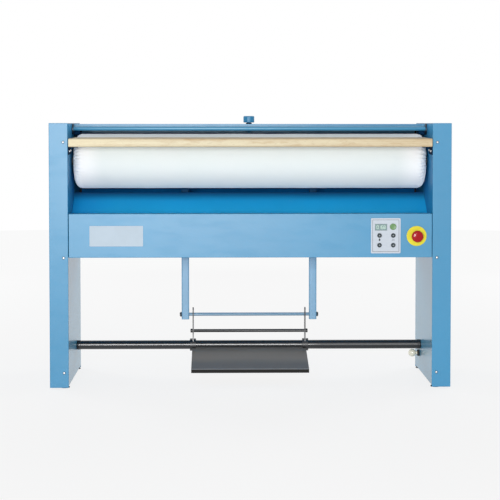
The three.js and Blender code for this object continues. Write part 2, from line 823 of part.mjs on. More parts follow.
function chainRun(span) {
  const spread = Math.acos((rollPitchRadius - motorPitchRadius) / span);
  const straight = span * Math.sin(spread);
  const overRoll = rollPitchRadius * (2 * Math.PI - 2 * spread);
  const overMotor = motorPitchRadius * 2 * spread;
  return { spread, straight, overRoll, overMotor, length: 2 * straight + overRoll + overMotor };
}
const chainLinks = 2 * Math.round(chainRun(driveSpanGoal).length / chainPitch / 2);
function fittedSpan() {
  let span = driveSpanGoal;
  for (let step = 0; step < 30; step += 1) span += (chainLinks * chainPitch - chainRun(span).length) / 2;
  return span;
}
const driveSpan = fittedSpan();
const driveAngle = rad(driveAngleDeg);
const motorY = rollY + driveSpan * Math.cos(driveAngle);
const motorZ = rollZ + driveSpan * Math.sin(driveAngle);

// The place of a point on the chain's middle line, by its distance from where it meets the roll's sprocket.
function chainPoint(distance) {
  const { spread, straight, overRoll, overMotor } = chainRun(driveSpan);
  const onCircle = ([y, z], radius, angle) => [y + radius * Math.cos(angle), z + radius * Math.sin(angle)];
  const rollAxis = [rollY, rollZ];
  const motorAxis = [motorY, motorZ];
  const between = (a, b, t) => [a[0] + (b[0] - a[0]) * t, a[1] + (b[1] - a[1]) * t];
  if (distance < overRoll) {
    return onCircle(rollAxis, rollPitchRadius, driveAngle + spread + distance / rollPitchRadius);
  }
  const down = distance - overRoll;
  const low = driveAngle - spread;
  const high = driveAngle + spread;
  if (down < straight) {
    return between(onCircle(rollAxis, rollPitchRadius, low), onCircle(motorAxis, motorPitchRadius, low),
      down / straight);
  }
  const round = down - straight;
  if (round < overMotor) return onCircle(motorAxis, motorPitchRadius, low + round / motorPitchRadius);
  return between(onCircle(motorAxis, motorPitchRadius, high), onCircle(rollAxis, rollPitchRadius, high),
    (round - overMotor) / straight);
}

// Sprocket: a disc whose tooth gaps are rounded to the chain's rollers, with its hub.
function sprocket([y, z], teeth, pitchRadius, firstGap, hubRadius, bore) {
  const width = [sprocketX - sprocketWidth / 2, sprocketX + sprocketWidth / 2];
  const tip = pitchRadius + toothTip;
  const disc = rodX(width, [y, z], tip, teeth * 3);
  const hub = rodX([width[0], width[1] + sprocketHub], [y, z], hubRadius, round);
  const through = [width[0] - 1, width[1] + sprocketHub + 1];
  const gaps = Array.from({ length: teeth }, (_, i) => {
    const angle = firstGap + (2 * Math.PI * i) / teeth;
    const place = [y + pitchRadius * Math.cos(angle), z + pitchRadius * Math.sin(angle)];
    return rodX([width[0] - 1, width[1] + 1], place, chainRollerRadius + toothRelief, 8);
  });
  return cut(join(cut(disc, ...gaps), hub), rodX(through, [y, z], bore, round));
}

const rollFirstGap = driveAngle + chainRun(driveSpan).spread;
function motorFirstGap() {
  const { spread, straight, overRoll } = chainRun(driveSpan);
  const start = overRoll + straight;
  const firstRoller = Math.ceil(start / chainPitch) * chainPitch;
  return driveAngle - spread + (firstRoller - start) / motorPitchRadius;
}

// Roller chain: a roller at each pitch, between the two rows of link plates.
function driveChain() {
  const length = chainLinks * chainPitch;
  const edge = (side) => Array.from({ length: chainLinks }, (_, i) => {
    const distance = i * chainPitch;
    const before = chainPoint((distance - 1 + length) % length);
    const after = chainPoint((distance + 1) % length);
    const run = new THREE.Vector2(after[0] - before[0], after[1] - before[1]).normalize();
    const [y, z] = chainPoint(distance);
    return [y - side * run.y * chainPlateHalfHeight, z + side * run.x * chainPlateHalfHeight];
  });
  const rows = bothEnds.map((side) => {
    const centre = sprocketX + side * (chainRollerWidth + chainPlate) / 2;
    return alongX(edge(-1), [centre - chainPlate / 2, centre + chainPlate / 2], [edge(1)]);
  });
  const half = chainRollerWidth / 2 + chainPlate / 3;
  const rollers = Array.from({ length: chainLinks }, (_, i) => rodX([sprocketX - half, sprocketX + half],
    chainPoint(i * chainPitch), chainRollerRadius, 6));
  return join(...rows, ...rollers);
}

// Gearmotor: a gearbox against the inner wall, a finned motor and the shaft that passes the wall.
function gearmotor() {
  const flangeX = wallX - seatGap;
  const boxX = flangeX - motorFlangeWidth;
  const motorX = boxX - gearboxWidth;
  const gearbox = alongX(roundedRectangle(
    [motorY - gearboxDepth / 2, motorY + gearboxDepth / 2],
    [motorZ - gearboxHeight / 2, motorZ + gearboxHeight / 2], gearboxCorner,
  ), [motorX, boxX + 0.01]);
  const flange = rodX([boxX, flangeX], [motorY, motorZ], gearboxDepth / 2, round);
  const shaft = rodX([flangeX - 1, sprocketEnd], [motorY, motorZ], motorShaftRadius, round);
  const motorEnd = motorX - motorLength;
  const capStart = motorEnd + motorCapLength;
  const motor = turnedX([
    [motorX + 1, 0],
    [motorX + 1, motorRadius - motorFinHeight],
    [capStart + 2, motorRadius - motorFinHeight],
    [capStart, motorRadius],
    [motorEnd, motorRadius - motorCapEdge],
    [motorEnd, 0],
  ], [motorY, motorZ], round);
  const fins = Array.from({ length: motorFins }, (_, i) => {
    const angle = (2 * Math.PI * i) / motorFins;
    const [c, s] = [Math.cos(angle), Math.sin(angle)];
    const at = (out, across) => [motorY + c * out - s * across, motorZ + s * out + c * across];
    const half = motorFinWidth / 2;
    const root = motorRadius - motorFinHeight - 2;
    return alongX([at(root, -half), at(motorRadius, -half), at(motorRadius, half), at(root, half)],
      [capStart + motorFinFromCap, motorX - motorFinFromBox]);
  });
  return join(gearbox, flange, shaft, motor, ...fins);
}

// ---------------------------------------------------------------- heated chest

const shoeCentre = [shoeCentreY, shoeCentreZ];
const shoeInner = rollRadius + shoeGap;
const shoeOuter = shoeInner + shoeThickness;
const shoeHalf = wallX - shoeSideGap;

// Chest shoe: the curved ironing plate, with a rounded lip at its top and bottom edges.
function chestShoe() {
  const steps = 22;
  const section = [
    ...arc(shoeCentre, shoeOuter, shoeBottomDeg, shoeTopDeg, steps),
    ...arc(shoeCentre, shoeInner, shoeTopDeg, shoeBottomDeg, steps),
  ];
  const shoe = alongX(section, [-shoeHalf, shoeHalf]);
  const lips = [shoeTopDeg, shoeBottomDeg].map((angle) => {
    const [place] = arc(shoeCentre, shoeInner + shoeLipRadius, angle, angle, 1);
    return rodX([-shoeHalf, shoeHalf], place, shoeLipRadius, 12);
  });
  return join(shoe, ...lips);
}

// Chest cover: sheet bent round the back of the shoe. It closes the heating space to the rear.
function chestCover() {
  const legInner = shoeOuter + seatGap;
  const top = chestCoverTopDeg;
  const bottom = chestCoverBottomDeg;
  const edge = chestCoverEdgeDeg;
  const steps = 16;
  const leg = (angle, out) => arc(shoeCentre, out, angle, angle, 1)[0];
  const section = [
    leg(bottom, legInner),
    ...arc(shoeCentre, chestCoverRadius, bottom, top, steps),
    leg(top, legInner),
    leg(top - edge, legInner),
    ...arc(shoeCentre, chestCoverRadius - chestCoverSheet, top - edge, bottom + edge, steps),
    leg(bottom + edge, legInner),
  ];
  return alongX(section, [-shoeHalf, shoeHalf]);
}

function heatingElement(angle) {
  const [place] = arc(shoeCentre, heaterRingRadius, angle, angle, 1);
  return rodX([-shoeHalf, shoeHalf], place, heaterRadius);
}

// Chest hanger: closes the chest's end, holds the heating elements and rises to the eye on the pivot pin.
function chestHanger(side) {
  const span = onSide(side, shoeHalf + seatGap, shoeHalf + seatGap + hangerPlate);
  const eye = [chestPivotY, chestPivotZ];
  const out = Math.atan2(eye[1] - shoeCentreZ, eye[0] - shoeCentreY) * (180 / Math.PI);
  const sector = alongX([
    ...arc(shoeCentre, chestCoverRadius, chestCoverBottomDeg, chestCoverTopDeg, 12),
    ...arc(shoeCentre, shoeInner + 1, chestCoverTopDeg, chestCoverBottomDeg, 12),
  ], span);
  const lug = alongX([
    ...arc(shoeCentre, chestCoverRadius - 8, out - 24, out - 8, 3),
    ...arc(eye, hangerEyeRadius, out - 60, out + 120, 8),
    ...arc(shoeCentre, shoeOuter - 1, out, out - 24, 3),
  ], span);
  const pinHole = rodX([span[0] - 1, span[1] + 1], eye, pivotPinRadius + runGap, small);
  return cut(join(sector, lug), pinHole);
}

// Pivot pin: it is fast in the inner wall, and the hanger turns on its inner end.
function chestPivotPin(side) {
  const inner = shoeHalf - pivotPinInside;
  const pin = rodX(onSide(side, inner, wallBackX + seatGap + pivotHeadWidth), [chestPivotY, chestPivotZ],
    pivotPinRadius, small);
  const head = rodX(onSide(side, wallBackX + seatGap, wallBackX + seatGap + pivotHeadWidth),
    [chestPivotY, chestPivotZ], pivotHeadRadius, 6);
  const collar = rodX(onSide(side, shoeHalf + 2 * seatGap + hangerPlate, wallX - seatGap),
    [chestPivotY, chestPivotZ], pivotHeadRadius, small);
  return join(pin, head, collar);
}

// Arm: a square tube that is shaped at its top to the back of the chest cover.
function arm(side) {
  const outline = roundedRectangle(onSide(side, armX - armWidth / 2, armX + armWidth / 2),
    [armY - armDepth / 2, armY + armDepth / 2], armCorner, 3);
  const bar = alongZ(outline, [tieRodZ - armUnderRod, armTopZ]);
  const saddle = rodX(onSide(side, armX - armWidth, armX + armWidth), shoeCentre,
    chestCoverRadius + seatGap, 96);
  const rodHole = rodX(onSide(side, armX - armWidth, armX + armWidth), [armY, tieRodZ],
    tieRodRadius + seatGap, 16);
  return cut(bar, saddle, rodHole);
}

// Tie rod with a nut on each end, outside the arms.
function tieRod() {
  const nutStart = armX + armWidth / 2 + seatGap;
  const end = nutStart + tieNutWidth + tieRodStud;
  const rod = rodX([-end, end], [armY, tieRodZ], tieRodRadius, 16);
  const nuts = bothEnds.map((side) => rodX(onSide(side, nutStart, nutStart + tieNutWidth), [armY, tieRodZ],
    tieNutRadius, 6));
  return join(rod, ...nuts);
}

// ---------------------------------------------------------------- pedal

// Cross tube between the inner walls, with a collar at each end that takes its bolt.
function crossTube() {
  const end = wallX - seatGap;
  return turnedX([
    [-end, tubeRadius - tubeWall],
    [end, tubeRadius - tubeWall],
    [end, tubeCollarRadius],
    [end - tubeCollarWidth, tubeCollarRadius],
    [end - tubeCollarWidth, tubeRadius],
    [-(end - tubeCollarWidth), tubeRadius],
    [-(end - tubeCollarWidth), tubeCollarRadius],
    [-end, tubeCollarRadius],
    [-end, tubeRadius - tubeWall],
  ], [tubeY, tubeZ], round);
}

// The pedal's slope, from the plate's rear edge to the fold at its front.
const pedalRearY = tubeY - tubeRadius - pedalRearGap;
const pedalHalf = leverX + pedalBeyondLever;
const pedalSlope = (pedalRearZ - pedalFrontZ) / (pedalRearY - pedalFrontY);
const pedalUnder = (y) => pedalFrontZ + (y - pedalFrontY) * pedalSlope - pedalSheet - seatGap;

// Pedal lever: a hub on the cross tube, an upright with the slot for the tie rod, and a foot under the plate.
function lever(side) {
  const plate = onSide(side, leverX - leverPlate / 2, leverX + leverPlate / 2);
  const hub = rodX(onSide(side, leverX - hubWidth / 2 + 1, leverX + hubWidth / 2 + 1), [tubeY, tubeZ],
    hubRadius, round);
  const half = leverWidth / 2;
  const upright = alongX([
    [tubeY - leverFootWidth / 2, tubeZ],
    [tubeY + leverFootWidth / 2, tubeZ],
    [tubeY + half, barZ],
    ...arc([tubeY, leverTopZ - half], half, 0, 180, 8),
    [tubeY - half, barZ],
  ], plate);
  const toe = pedalFrontY + leverToeBack;
  const foot = alongX([
    [tubeY, tubeZ - hubRadius],
    [toe, pedalUnder(toe) - leverToeHeight],
    [toe, pedalUnder(toe)],
    [pedalRearY, pedalUnder(pedalRearY)],
    [tubeY, pedalUnder(pedalRearY)],
  ], plate);
  const bore = rodX(onSide(side, leverX - hubWidth, leverX + hubWidth), [tubeY, tubeZ],
    tubeRadius + runGap, round);
  const reach = tieRodRadius + slotSideGap;
  const slot = alongX([
    ...arc([tubeY, tieRodZ + slotLength / 2], reach, 0, 180, 6),
    ...arc([tubeY, tieRodZ - slotLength / 2], reach, 180, 360, 6),
  ], onSide(side, leverX - leverPlate, leverX + leverPlate));
  const barHole = rodX(onSide(side, leverX - leverPlate, leverX + leverPlate), [tubeY, barZ],
    barRadius + seatGap, 16);
  return cut(join(hub, upright, foot), bore, slot, barHole);
}

// Pedal plate: sheet with a lip turned down along its front.
function pedalPlate() {
  const section = bentSheet([
    [pedalFrontY, pedalFrontZ - pedalLip],
    [pedalFrontY, pedalFrontZ],
    [pedalRearY, pedalRearZ],
  ], -pedalSheet);
  const plate = alongX(section, [-pedalHalf, pedalHalf]);
  const hubs = bothEnds.map((side) => rodX(onSide(side, leverX - hubWidth, leverX + hubWidth),
    [tubeY, tubeZ], hubRadius + seatGap, round));
  return cut(plate, ...hubs);
}

// Bar between the levers, with a cap on each end.
function pedalBar() {
  const end = leverX + barBeyondLever;
  const bar = rodX([-end, end], [tubeY, barZ], barRadius, 16);
  const capStart = leverX + leverPlate / 2 + seatGap;
  const caps = bothEnds.map((side) => rodX(onSide(side, capStart, capStart + barCapWidth), [tubeY, barZ],
    barCapRadius, 20));
  return join(bar, ...caps);
}

// ---------------------------------------------------------------- side knob

function sideKnobBase() {
  const start = wallX - seatGap;
  return turnedX([
    [start, spindleRadius + runGap],
    [start, sideKnobBaseRadius],
    [start - sideKnobBaseWidth, sideKnobBaseRadius - 2],
    [start - sideKnobBaseWidth, spindleRadius + runGap],
    [start, spindleRadius + runGap],
  ], [sideKnobY, sideKnobZ], 20);
}

function sideKnob() {
  const start = wallX - seatGap - sideKnobBaseWidth - seatGap;
  const ball = start - sideKnobNeckLength - sideKnobRadius * 0.9;
  return turnedX([
    [wallBackX + sideKnobSpindle, 0],
    [wallBackX + sideKnobSpindle, spindleRadius],
    [start, spindleRadius],
    [start, sideKnobNeckRadius],
    ...arc([ball, 0], sideKnobRadius, 26, 180, 7).map(([x, r]) => [x, Math.max(r, 0)]),
  ], [sideKnobY, sideKnobZ], 20);
}

// ---------------------------------------------------------------- controls

const plateBack = -seatGap;
const plateFront = plateBack - plateThickness;

// Control plate: a rounded plate with a window for the display and a hole for each button.
function controlPlate() {
  const outline = roundedRectangle([plateLeft, plateRight], [plateBottom, plateTop], plateCorner);
  const halfWide = displaySize[0] / 2 + buttonGap;
  const halfHigh = displaySize[1] / 2 + buttonGap;
  const window = [
    [displayCentre[0] - halfWide, displayCentre[1] - halfHigh],
    [displayCentre[0] + halfWide, displayCentre[1] - halfHigh],
    [displayCentre[0] + halfWide, displayCentre[1] + halfHigh],
    [displayCentre[0] - halfWide, displayCentre[1] + halfHigh],
  ];
  const holes = [
    window,
    circle(startCentre, startRadius + buttonGap, 16),
    ...buttonCentres.map((centre) => circle(centre, buttonRadius + buttonGap, 16)),
  ];
  return alongY(outline, [plateFront, plateBack], holes);
}

// Control box behind the plate: an open-fronted box whose rear wall carries the buttons' guides.
function controlBox() {
  const inset = boxMargin + 2 * seatGap;
  const xs = [plateLeft + inset, plateRight - inset];
  const zs = [plateBottom + inset, plateTop - inset];
  const shrink = ([low, high]) => [low + boxSheet, high - boxSheet];
  const outside = block(xs, [0, boxDepth], zs);
  const inside = block(shrink(xs), [-1, boxDepth - boxSheet], shrink(zs));
  const guideFront = buttonStemLength - guideOverlap;
  const guides = [startCentre, ...buttonCentres].map((centre) => cut(
    rodY([guideFront, boxDepth - boxSheet / 2], centre, buttonStemRadius + guideWall, 8),
    rodY([guideFront - 1, guideFront + guideDepth], centre, buttonStemRadius + runGap, 8),
  ));
  return join(cut(outside, inside), ...guides);
}

function displayWindow() {
  const [x, z] = displayCentre;
  const [wide, high] = displaySize;
  const across = [x - wide / 2, x + wide / 2];
  return block(across, [plateFront - runGap, displayDepth], [z - high / 2, z + high / 2]);
}

// Push button: a domed cap in the plate's hole, with the stem that runs in its guide.
function pushButton(centre, radius) {
  const front = plateFront - buttonProud;
  return turnedY([
    [front, 0],
    [front, radius - buttonEdge],
    [front + buttonEdge, radius],
    [plateBack + 2, radius],
    [plateBack + 2, buttonStemRadius],
    [buttonStemLength, buttonStemRadius],
    [buttonStemLength, 0],
  ], centre, 16);
}

function stopDisc() {
  const front = -seatGap - stopDiscThickness;
  const bore = stopStemRadius + stopBoreGap;
  return turnedY([
    [-seatGap, bore],
    [-seatGap, stopDiscRadius],
    [front + 1, stopDiscRadius],
    [front, stopDiscRadius - 1],
    [front, bore],
    [-seatGap, bore],
  ], stopCentre, 32);
}

// Stop button: its stem slides in the contact block, and the mushroom head turns on the stem to let go of
// the latch.
const stopBlockStart = panelSheet + seatGap;
const stopBoreEnd = stopBlockStart + stopBlock[2] - stopBlockFloor;
const stopHeadRear = stopHeadDepth - stopProud;
const stopHeadBore = stopHeadRear - stopHeadDepth * 0.35;

function stopStem() {
  return rodY([stopHeadBore + seatGap, stopBoreEnd - stopTravel - seatGap], stopCentre, stopStemRadius, 20);
}

function stopHead() {
  const front = -stopProud;
  const rim = front + stopHeadDepth * 0.3;
  const bore = stopStemRadius + runGap;
  return turnedY([
    [front, 0],
    [front + 0.6, stopHeadRadius * 0.5],
    [front + 2.6, stopHeadRadius * 0.85],
    [rim, stopHeadRadius],
    [rim + stopHeadRim, stopHeadRadius],
    [stopHeadBore, stopHeadRadius * 0.83],
    [stopHeadRear, stopCollarRadius],
    [stopHeadRear + stopCollarDepth, stopCollarRadius],
    [stopHeadRear + stopCollarDepth, bore],
    [stopHeadBore, bore],
    [stopHeadBore, 0],
  ], stopCentre, round);
}

// Contact block of the stop button, against the back of the panel.
function stopContactBlock() {
  const [wide, high, deep] = stopBlock;
  const [x, z] = stopCentre;
  const start = stopBlockStart;
  const body = block([x - wide / 2, x + wide / 2], [start, start + deep], [z - high / 2, z + high / 2]);
  return cut(body, rodY([start - 1, stopBoreEnd], stopCentre, stopStemRadius + runGap, 20));
}

// ---------------------------------------------------------------- the ironer

sides.forEach(([name, side]) => {
  addPart(`${name}_casing`, sideCasing(side), 'bluePaint');
  addPart(`${name}_inner_wall`, innerWall(side), 'bluePaint');
  addPart(`${name}_front_foot`, foot(side, footPlaces[0]), 'rubber');
  addPart(`${name}_rear_foot`, foot(side, footPlaces[1]), 'rubber');
  addPart(`${name}_feed_bracket`, feedBracket(side), 'darkBlue');
  addPart(`${name}_guard_disc`, guardDisc(side), 'zinc');
  addPart(`${name}_roll_bearing`, rollBearing(side), 'castGrey');
  addPart(`${name}_chest_hanger`, chestHanger(side), 'darkBlue');
  addPart(`${name}_chest_pivot_pin`, chestPivotPin(side), 'zinc');
  addPart(`${name}_arm`, arm(side), 'bluePaint');
  addPart(`${name}_pedal_lever`, lever(side), 'blackPaint');
});
addPart('front_panel', frontPanel(), 'bluePaint');
addPart('linen_tray', linenTray(), 'bluePaint');
addPart('rear_panel', rearPanel(), 'bluePaint');
addPart('bottom_cover', bottomCover(), 'darkBlue');
addPart('top_cover', topCover(), 'bluePaint');
addPart('top_knob', topKnob(), 'bluePaint');
addPart('feed_board', feedBoard(), 'beech');
addPart('guard_tube', guardTube(), 'bluePaint');
addPart('roll_core', rollCore(), 'steel');
addPart('roll_padding', rollPadding(), 'padding');
addPart('left_roll_end', rollEnd(-1, wallBackX + journalBeyondWall), 'castGrey');
addPart('right_roll_end', rollEnd(1, sprocketEnd), 'castGrey');
addPart('roll_sprocket', sprocket([rollY, rollZ], rollTeeth, rollPitchRadius, rollFirstGap,
  sprocketHubRadius, journalRadius + 0.05), 'steel');
addPart('motor_sprocket', sprocket([motorY, motorZ], motorTeeth, motorPitchRadius, motorFirstGap(),
  sprocketHubRadius - 8, motorShaftRadius + runGap), 'steel');
addPart('drive_chain', driveChain(), 'steel');
addPart('gearmotor', gearmotor(), 'castGrey');
addPart('chest_shoe', chestShoe(), 'aluminium');
addPart('chest_cover', chestCover(), 'darkBlue');
heaterAnglesDeg.forEach((angle, i) => addPart(`heating_element_${i + 1}`, heatingElement(angle), 'steel'));
addPart('tie_rod', tieRod(), 'bluePaint');
addPart('cross_tube', crossTube(), 'blackPaint');
addPart('pedal_plate', pedalPlate(), 'pedalGrey');
addPart('pedal_bar', pedalBar(), 'blackPaint');
addPart('side_knob_base', sideKnobBase(), 'rubber');
addPart('side_knob', sideKnob(), 'cream');
addPart('control_plate', controlPlate(), 'plateSilver');
addPart('control_box', controlBox(), 'castGrey');
addPart('display_window', displayWindow(), 'display');
addPart('start_button', pushButton(startCentre, startRadius), 'green');
buttonNames.forEach((name, i) => addPart(name, pushButton(buttonCentres[i], buttonRadius), 'buttonBlack'));
addPart('stop_disc', stopDisc(), 'yellow');
addPart('stop_stem', stopStem(), 'castGrey');
addPart('stop_head', stopHead(), 'red');
addPart('stop_contact_block', stopContactBlock(), 'castGrey');

export default ironer;
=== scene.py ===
"""A flatwork ironer: the finish of its parts, its sheet metal, roll, board, controls and fasteners."""

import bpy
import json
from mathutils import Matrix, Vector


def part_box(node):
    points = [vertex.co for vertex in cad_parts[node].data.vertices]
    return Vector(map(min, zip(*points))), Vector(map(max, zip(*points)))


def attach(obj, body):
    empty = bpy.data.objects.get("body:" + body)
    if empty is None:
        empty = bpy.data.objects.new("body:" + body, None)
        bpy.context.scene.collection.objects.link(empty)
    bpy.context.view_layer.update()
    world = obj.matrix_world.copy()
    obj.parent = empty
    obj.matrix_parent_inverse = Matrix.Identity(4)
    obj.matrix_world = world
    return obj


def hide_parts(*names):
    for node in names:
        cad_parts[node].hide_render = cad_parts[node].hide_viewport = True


bl_info = {
    "name": "Flatwork ironer",
    "version": (1, 0, 0),
    "blender": (4, 5, 0),
    "location": "View3D > Sidebar > Ironer",
    "description": "Dresses a roll ironer with painted sheet metal, padded roll, beech board and controls",
    "category": "Object",
}

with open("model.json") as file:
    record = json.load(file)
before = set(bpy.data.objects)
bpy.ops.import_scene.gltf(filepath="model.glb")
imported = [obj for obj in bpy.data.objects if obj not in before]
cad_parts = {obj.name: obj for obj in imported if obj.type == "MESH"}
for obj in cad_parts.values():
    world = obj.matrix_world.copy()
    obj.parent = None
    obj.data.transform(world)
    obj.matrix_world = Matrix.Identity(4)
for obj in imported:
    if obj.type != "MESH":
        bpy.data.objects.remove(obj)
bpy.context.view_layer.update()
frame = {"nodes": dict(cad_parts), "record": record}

import json
from math import cos, pi, radians, sin, tan

import bmesh
import bpy
import numpy as np
from bpy.props import FloatProperty, FloatVectorProperty, IntProperty, PointerProperty
from mathutils import Vector

MM = 0.001
BODY_OF = {node: body for body, nodes in frame["record"]["behaviour"]["bodies"].items() for node in nodes}
LOW = {node: np.array(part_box(node)[0]) for node in BODY_OF}
HIGH = {node: np.array(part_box(node)[1]) for node in BODY_OF}
SIDES = (("left", -1), ("right", 1))


def middle(node):
    """The middle of a node's box, in metres."""
    return (LOW[node] + HIGH[node]) / 2


def half_size(node, axis=2):
    """Half of a node's size along an axis, which is the radius of a round one."""
    return (HIGH[node] - LOW[node])[axis] / 2


# --- shader tools


def math_node(operation, swapped=False):
    """A method that adds a Math node of one operation. Swapped, it takes its two values in the other order."""
    def method(wire, *others):
        values = (*others, wire) if swapped else (wire, *others)
        return wire.shader.node("ShaderNodeMath", {"operation": operation}, dict(enumerate(values)))
    return method


class Wire:
    """A node's output socket. Arithmetic on it adds Math nodes to its material."""

    def __init__(self, shader, socket):
        self.shader = shader
        self.socket = socket

    __add__ = __radd__ = math_node("ADD")
    __mul__ = __rmul__ = math_node("MULTIPLY")
    __sub__ = math_node("SUBTRACT")
    __rsub__ = math_node("SUBTRACT", swapped=True)
    __pow__ = math_node("POWER")
    __gt__ = math_node("GREATER_THAN")
    __lt__ = math_node("LESS_THAN")
    size = math_node("ABSOLUTE")
    sine = math_node("SINE")
    greater = math_node("MAXIMUM")

    def between(self, low, high):
        """Maps the span from low to high onto 0 to 1, smoothly, and clamps it."""
        values = {"Value": self, "From Min": low, "From Max": high}
        return self.shader.node("ShaderNodeMapRange", {"interpolation_type": "SMOOTHSTEP"}, values)


class Shader:
    """The nodes of one material, or of the world where a world is given, and the methods that add to them."""

    def __init__(self, name, world=None):
        self.owner = world or bpy.data.materials.new(name)
        self.owner.use_nodes = True
        self.tree = self.owner.node_tree
        self.tree.nodes.clear()
        self.output = self.tree.nodes.new("ShaderNodeOutputWorld" if world else "ShaderNodeOutputMaterial")

    def node(self, kind, settings=None, inputs=None, output=0):
        """Adds a node: first its settings, then the values or wires of its sockets. Returns one output."""
        node = self.tree.nodes.new(kind)
        for key, value in (settings or {}).items():
            setattr(node, key, value)
        for key, value in (inputs or {}).items():
            socket = node.inputs[key]
            if isinstance(value, Wire):
                self.tree.links.new(value.socket, socket)
            elif socket.type == "RGBA":
                socket.default_value = (*value, 1.0)
            else:
                socket.default_value = value
        return Wire(self, node.outputs[output])

    def point(self, kind="Object"):
        """The point on the object, in metres in the frame that all parts share, or in its UV map."""
        return self.node("ShaderNodeTexCoord", output=kind)

    def axes(self, kind="Object"):
        """The three numbers of the point, as wires."""
        split = self.node("ShaderNodeSeparateXYZ", inputs={"Vector": self.point(kind)})
        return [Wire(self, split.socket.node.outputs[axis]) for axis in "XYZ"]

    def noise(self, scale, detail=2.0, roughness=0.5, stretch=None, distortion=0.0):
        """Noise at the point, which may first be multiplied axis by axis."""
        point = self.point()
        if stretch:
            point = self.node("ShaderNodeMapping", inputs={"Vector": point, "Scale": stretch})
        values = {"Vector": point, "Scale": scale, "Detail": detail, "Roughness": roughness, "Distortion": distortion}
        return self.node("ShaderNodeTexNoise", inputs=values)

    def mix(self, factor, first, second):
        """A colour between two colours."""
        return self.node("ShaderNodeMix", {"data_type": "RGBA"}, {0: factor, 6: first, 7: second}, 2)

    def shades(self, factor, colour, dark, light):
        """A colour that goes from darker to lighter with the factor."""
        return self.mix(factor, tint(colour, dark), tint(colour, light))

    def bump(self, height, distance):
        """The surface normal of a height, whose full span stands for a distance in metres."""
        return self.node("ShaderNodeBump", inputs={"Height": height, "Distance": distance, "Strength": 1.0})

    def peel(self, waves):
        """The normal of a powder coat's orange peel, with waves so many times as high as the settings say."""
        paint = bpy.context.scene.ironer_paint
        return self.bump(self.noise(1 / paint.peel, 2.0, 0.45), paint.wave * waves)

    def seen(self):
        """1 where the camera, a reflection or glass sees the surface, and 0 for all other light."""
        camera, glossy, glass = (self.node("ShaderNodeLightPath", output=f"Is {ray} Ray")
                                 for ray in ("Camera", "Glossy", "Transmission"))
        return camera.greater(glossy).greater(glass)

    def show(self, surface):
        """Joins a surface to the output."""
        self.tree.links.new(surface.socket, self.output.inputs["Surface"])
        return self.owner

    def finish(self, colour, rough, normal=None, coat=None, coat_rough=0.03, **others):
        """Adds the Principled shader. Underscores in the names of its other sockets stand for spaces."""
        values = {"Base Color": colour, "Roughness": rough, "Normal": normal, "Coat Weight": coat,
                  "Coat Roughness": coat_rough, **{key.replace("_", " "): value for key, value in others.items()}}
        values = {key: value for key, value in values.items() if value is not None}
        return self.show(self.node("ShaderNodeBsdfPrincipled", inputs=values))


def linear(*screen):
    """A colour as it looks on screen, from 0 to 255, changed to the numbers that light is added in."""
    return tuple(c / 12.92 if c <= 0.04045 else ((c + 0.055) / 1.055) ** 2.4 for c in (v / 255 for v in screen))


def tint(colour, factor):
    """The colour made lighter or darker."""
    return tuple(min(1.0, c * factor) for c in colour)


# --- mesh tools


def add_mesh(name, mesh, material, body, smooth_deg):
    """Makes a piece of a mesh, shaded smooth but for its edges over an angle, and lets it ride on its body."""
    mesh.materials.clear()
    mesh.materials.append(material)
    piece = bpy.data.objects.new(name, mesh)
    bpy.context.scene.collection.objects.link(piece)
    mesh.polygons.foreach_set("use_smooth", np.ones(len(mesh.polygons), bool))
    mesh.set_sharp_from_angle(angle=radians(smooth_deg))
    mesh.update()
    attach(piece, body)
    return piece


def add_piece(name, shape, material, body="frame", smooth_deg=35.0):
    """Makes a piece of a shape, which is an array of points and a list of faces."""
    points, faces = shape
    mesh = bpy.data.meshes.new(name)
    mesh.from_pydata(np.asarray(points, float).tolist(), [], [list(map(int, face)) for face in faces])
    mesh.validate()
    return add_mesh(name, mesh, material, body, smooth_deg)


def replace(node, shape, material, ending="skin"):
    """Makes a piece of a shape, which stands for a node and rides where it does."""
    piece = add_piece(f"{node}_{ending}", shape, material, BODY_OF[node])
    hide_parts(node)


def read(items, name, width=1, kind=float):
    """One value or vector of each item of a mesh."""
    out = np.empty(len(items) * width, kind)
    items.foreach_get(name, out)
    return out.reshape(-1, width) if width > 1 else out


def grid_faces(rows, columns, close_rows=False):
    """The quads of a grid of points, whose rows are closed rings."""
    row, column = (a.ravel() for a in np.meshgrid(np.arange(rows if close_rows else rows - 1), np.arange(columns),
                                                  indexing="ij"))
    after_row, after_column = (row + 1) % rows, (column + 1) % columns
    faces = np.stack([row * columns + column, row * columns + after_column,
                      after_row * columns + after_column, after_row * columns + column], 1)
    return [tuple(face) for face in faces]


def outward(points, faces):
    """The shape, with its faces turned round if the closed surface that they make is inside out."""
    volume = 0.0
    for face in faces:
        for b, c in zip(face[1:], face[2:]):
            volume += np.dot(points[face[0]], np.cross(points[b], points[c]))
    return points, faces if volume > 0 else [face[::-1] for face in faces]


def joined(shapes):
    """Several shapes in one."""
    points, faces, start = [], [], 0
    for shape_points, shape_faces in shapes:
        points.append(shape_points)
        faces += [tuple(int(i) + start for i in face) for face in shape_faces]
        start += len(shape_points)
    return np.vstack(points), faces


AXES = {"X": [1, 2, 0], "Y": [0, 2, 1], "Z": [0, 1, 2]}


def to_space(u, v, along, axis):
    """Points of a section (u, v) at places along an axis: X holds (Y, Z), Y holds (X, Z), Z holds (X, Y)."""
    out = np.empty(np.broadcast(u, v, along).shape + (3,))
    for index, values in zip(AXES[axis], (u, v, along)):
        out[..., index] = values
    return out.reshape(-1, 3)


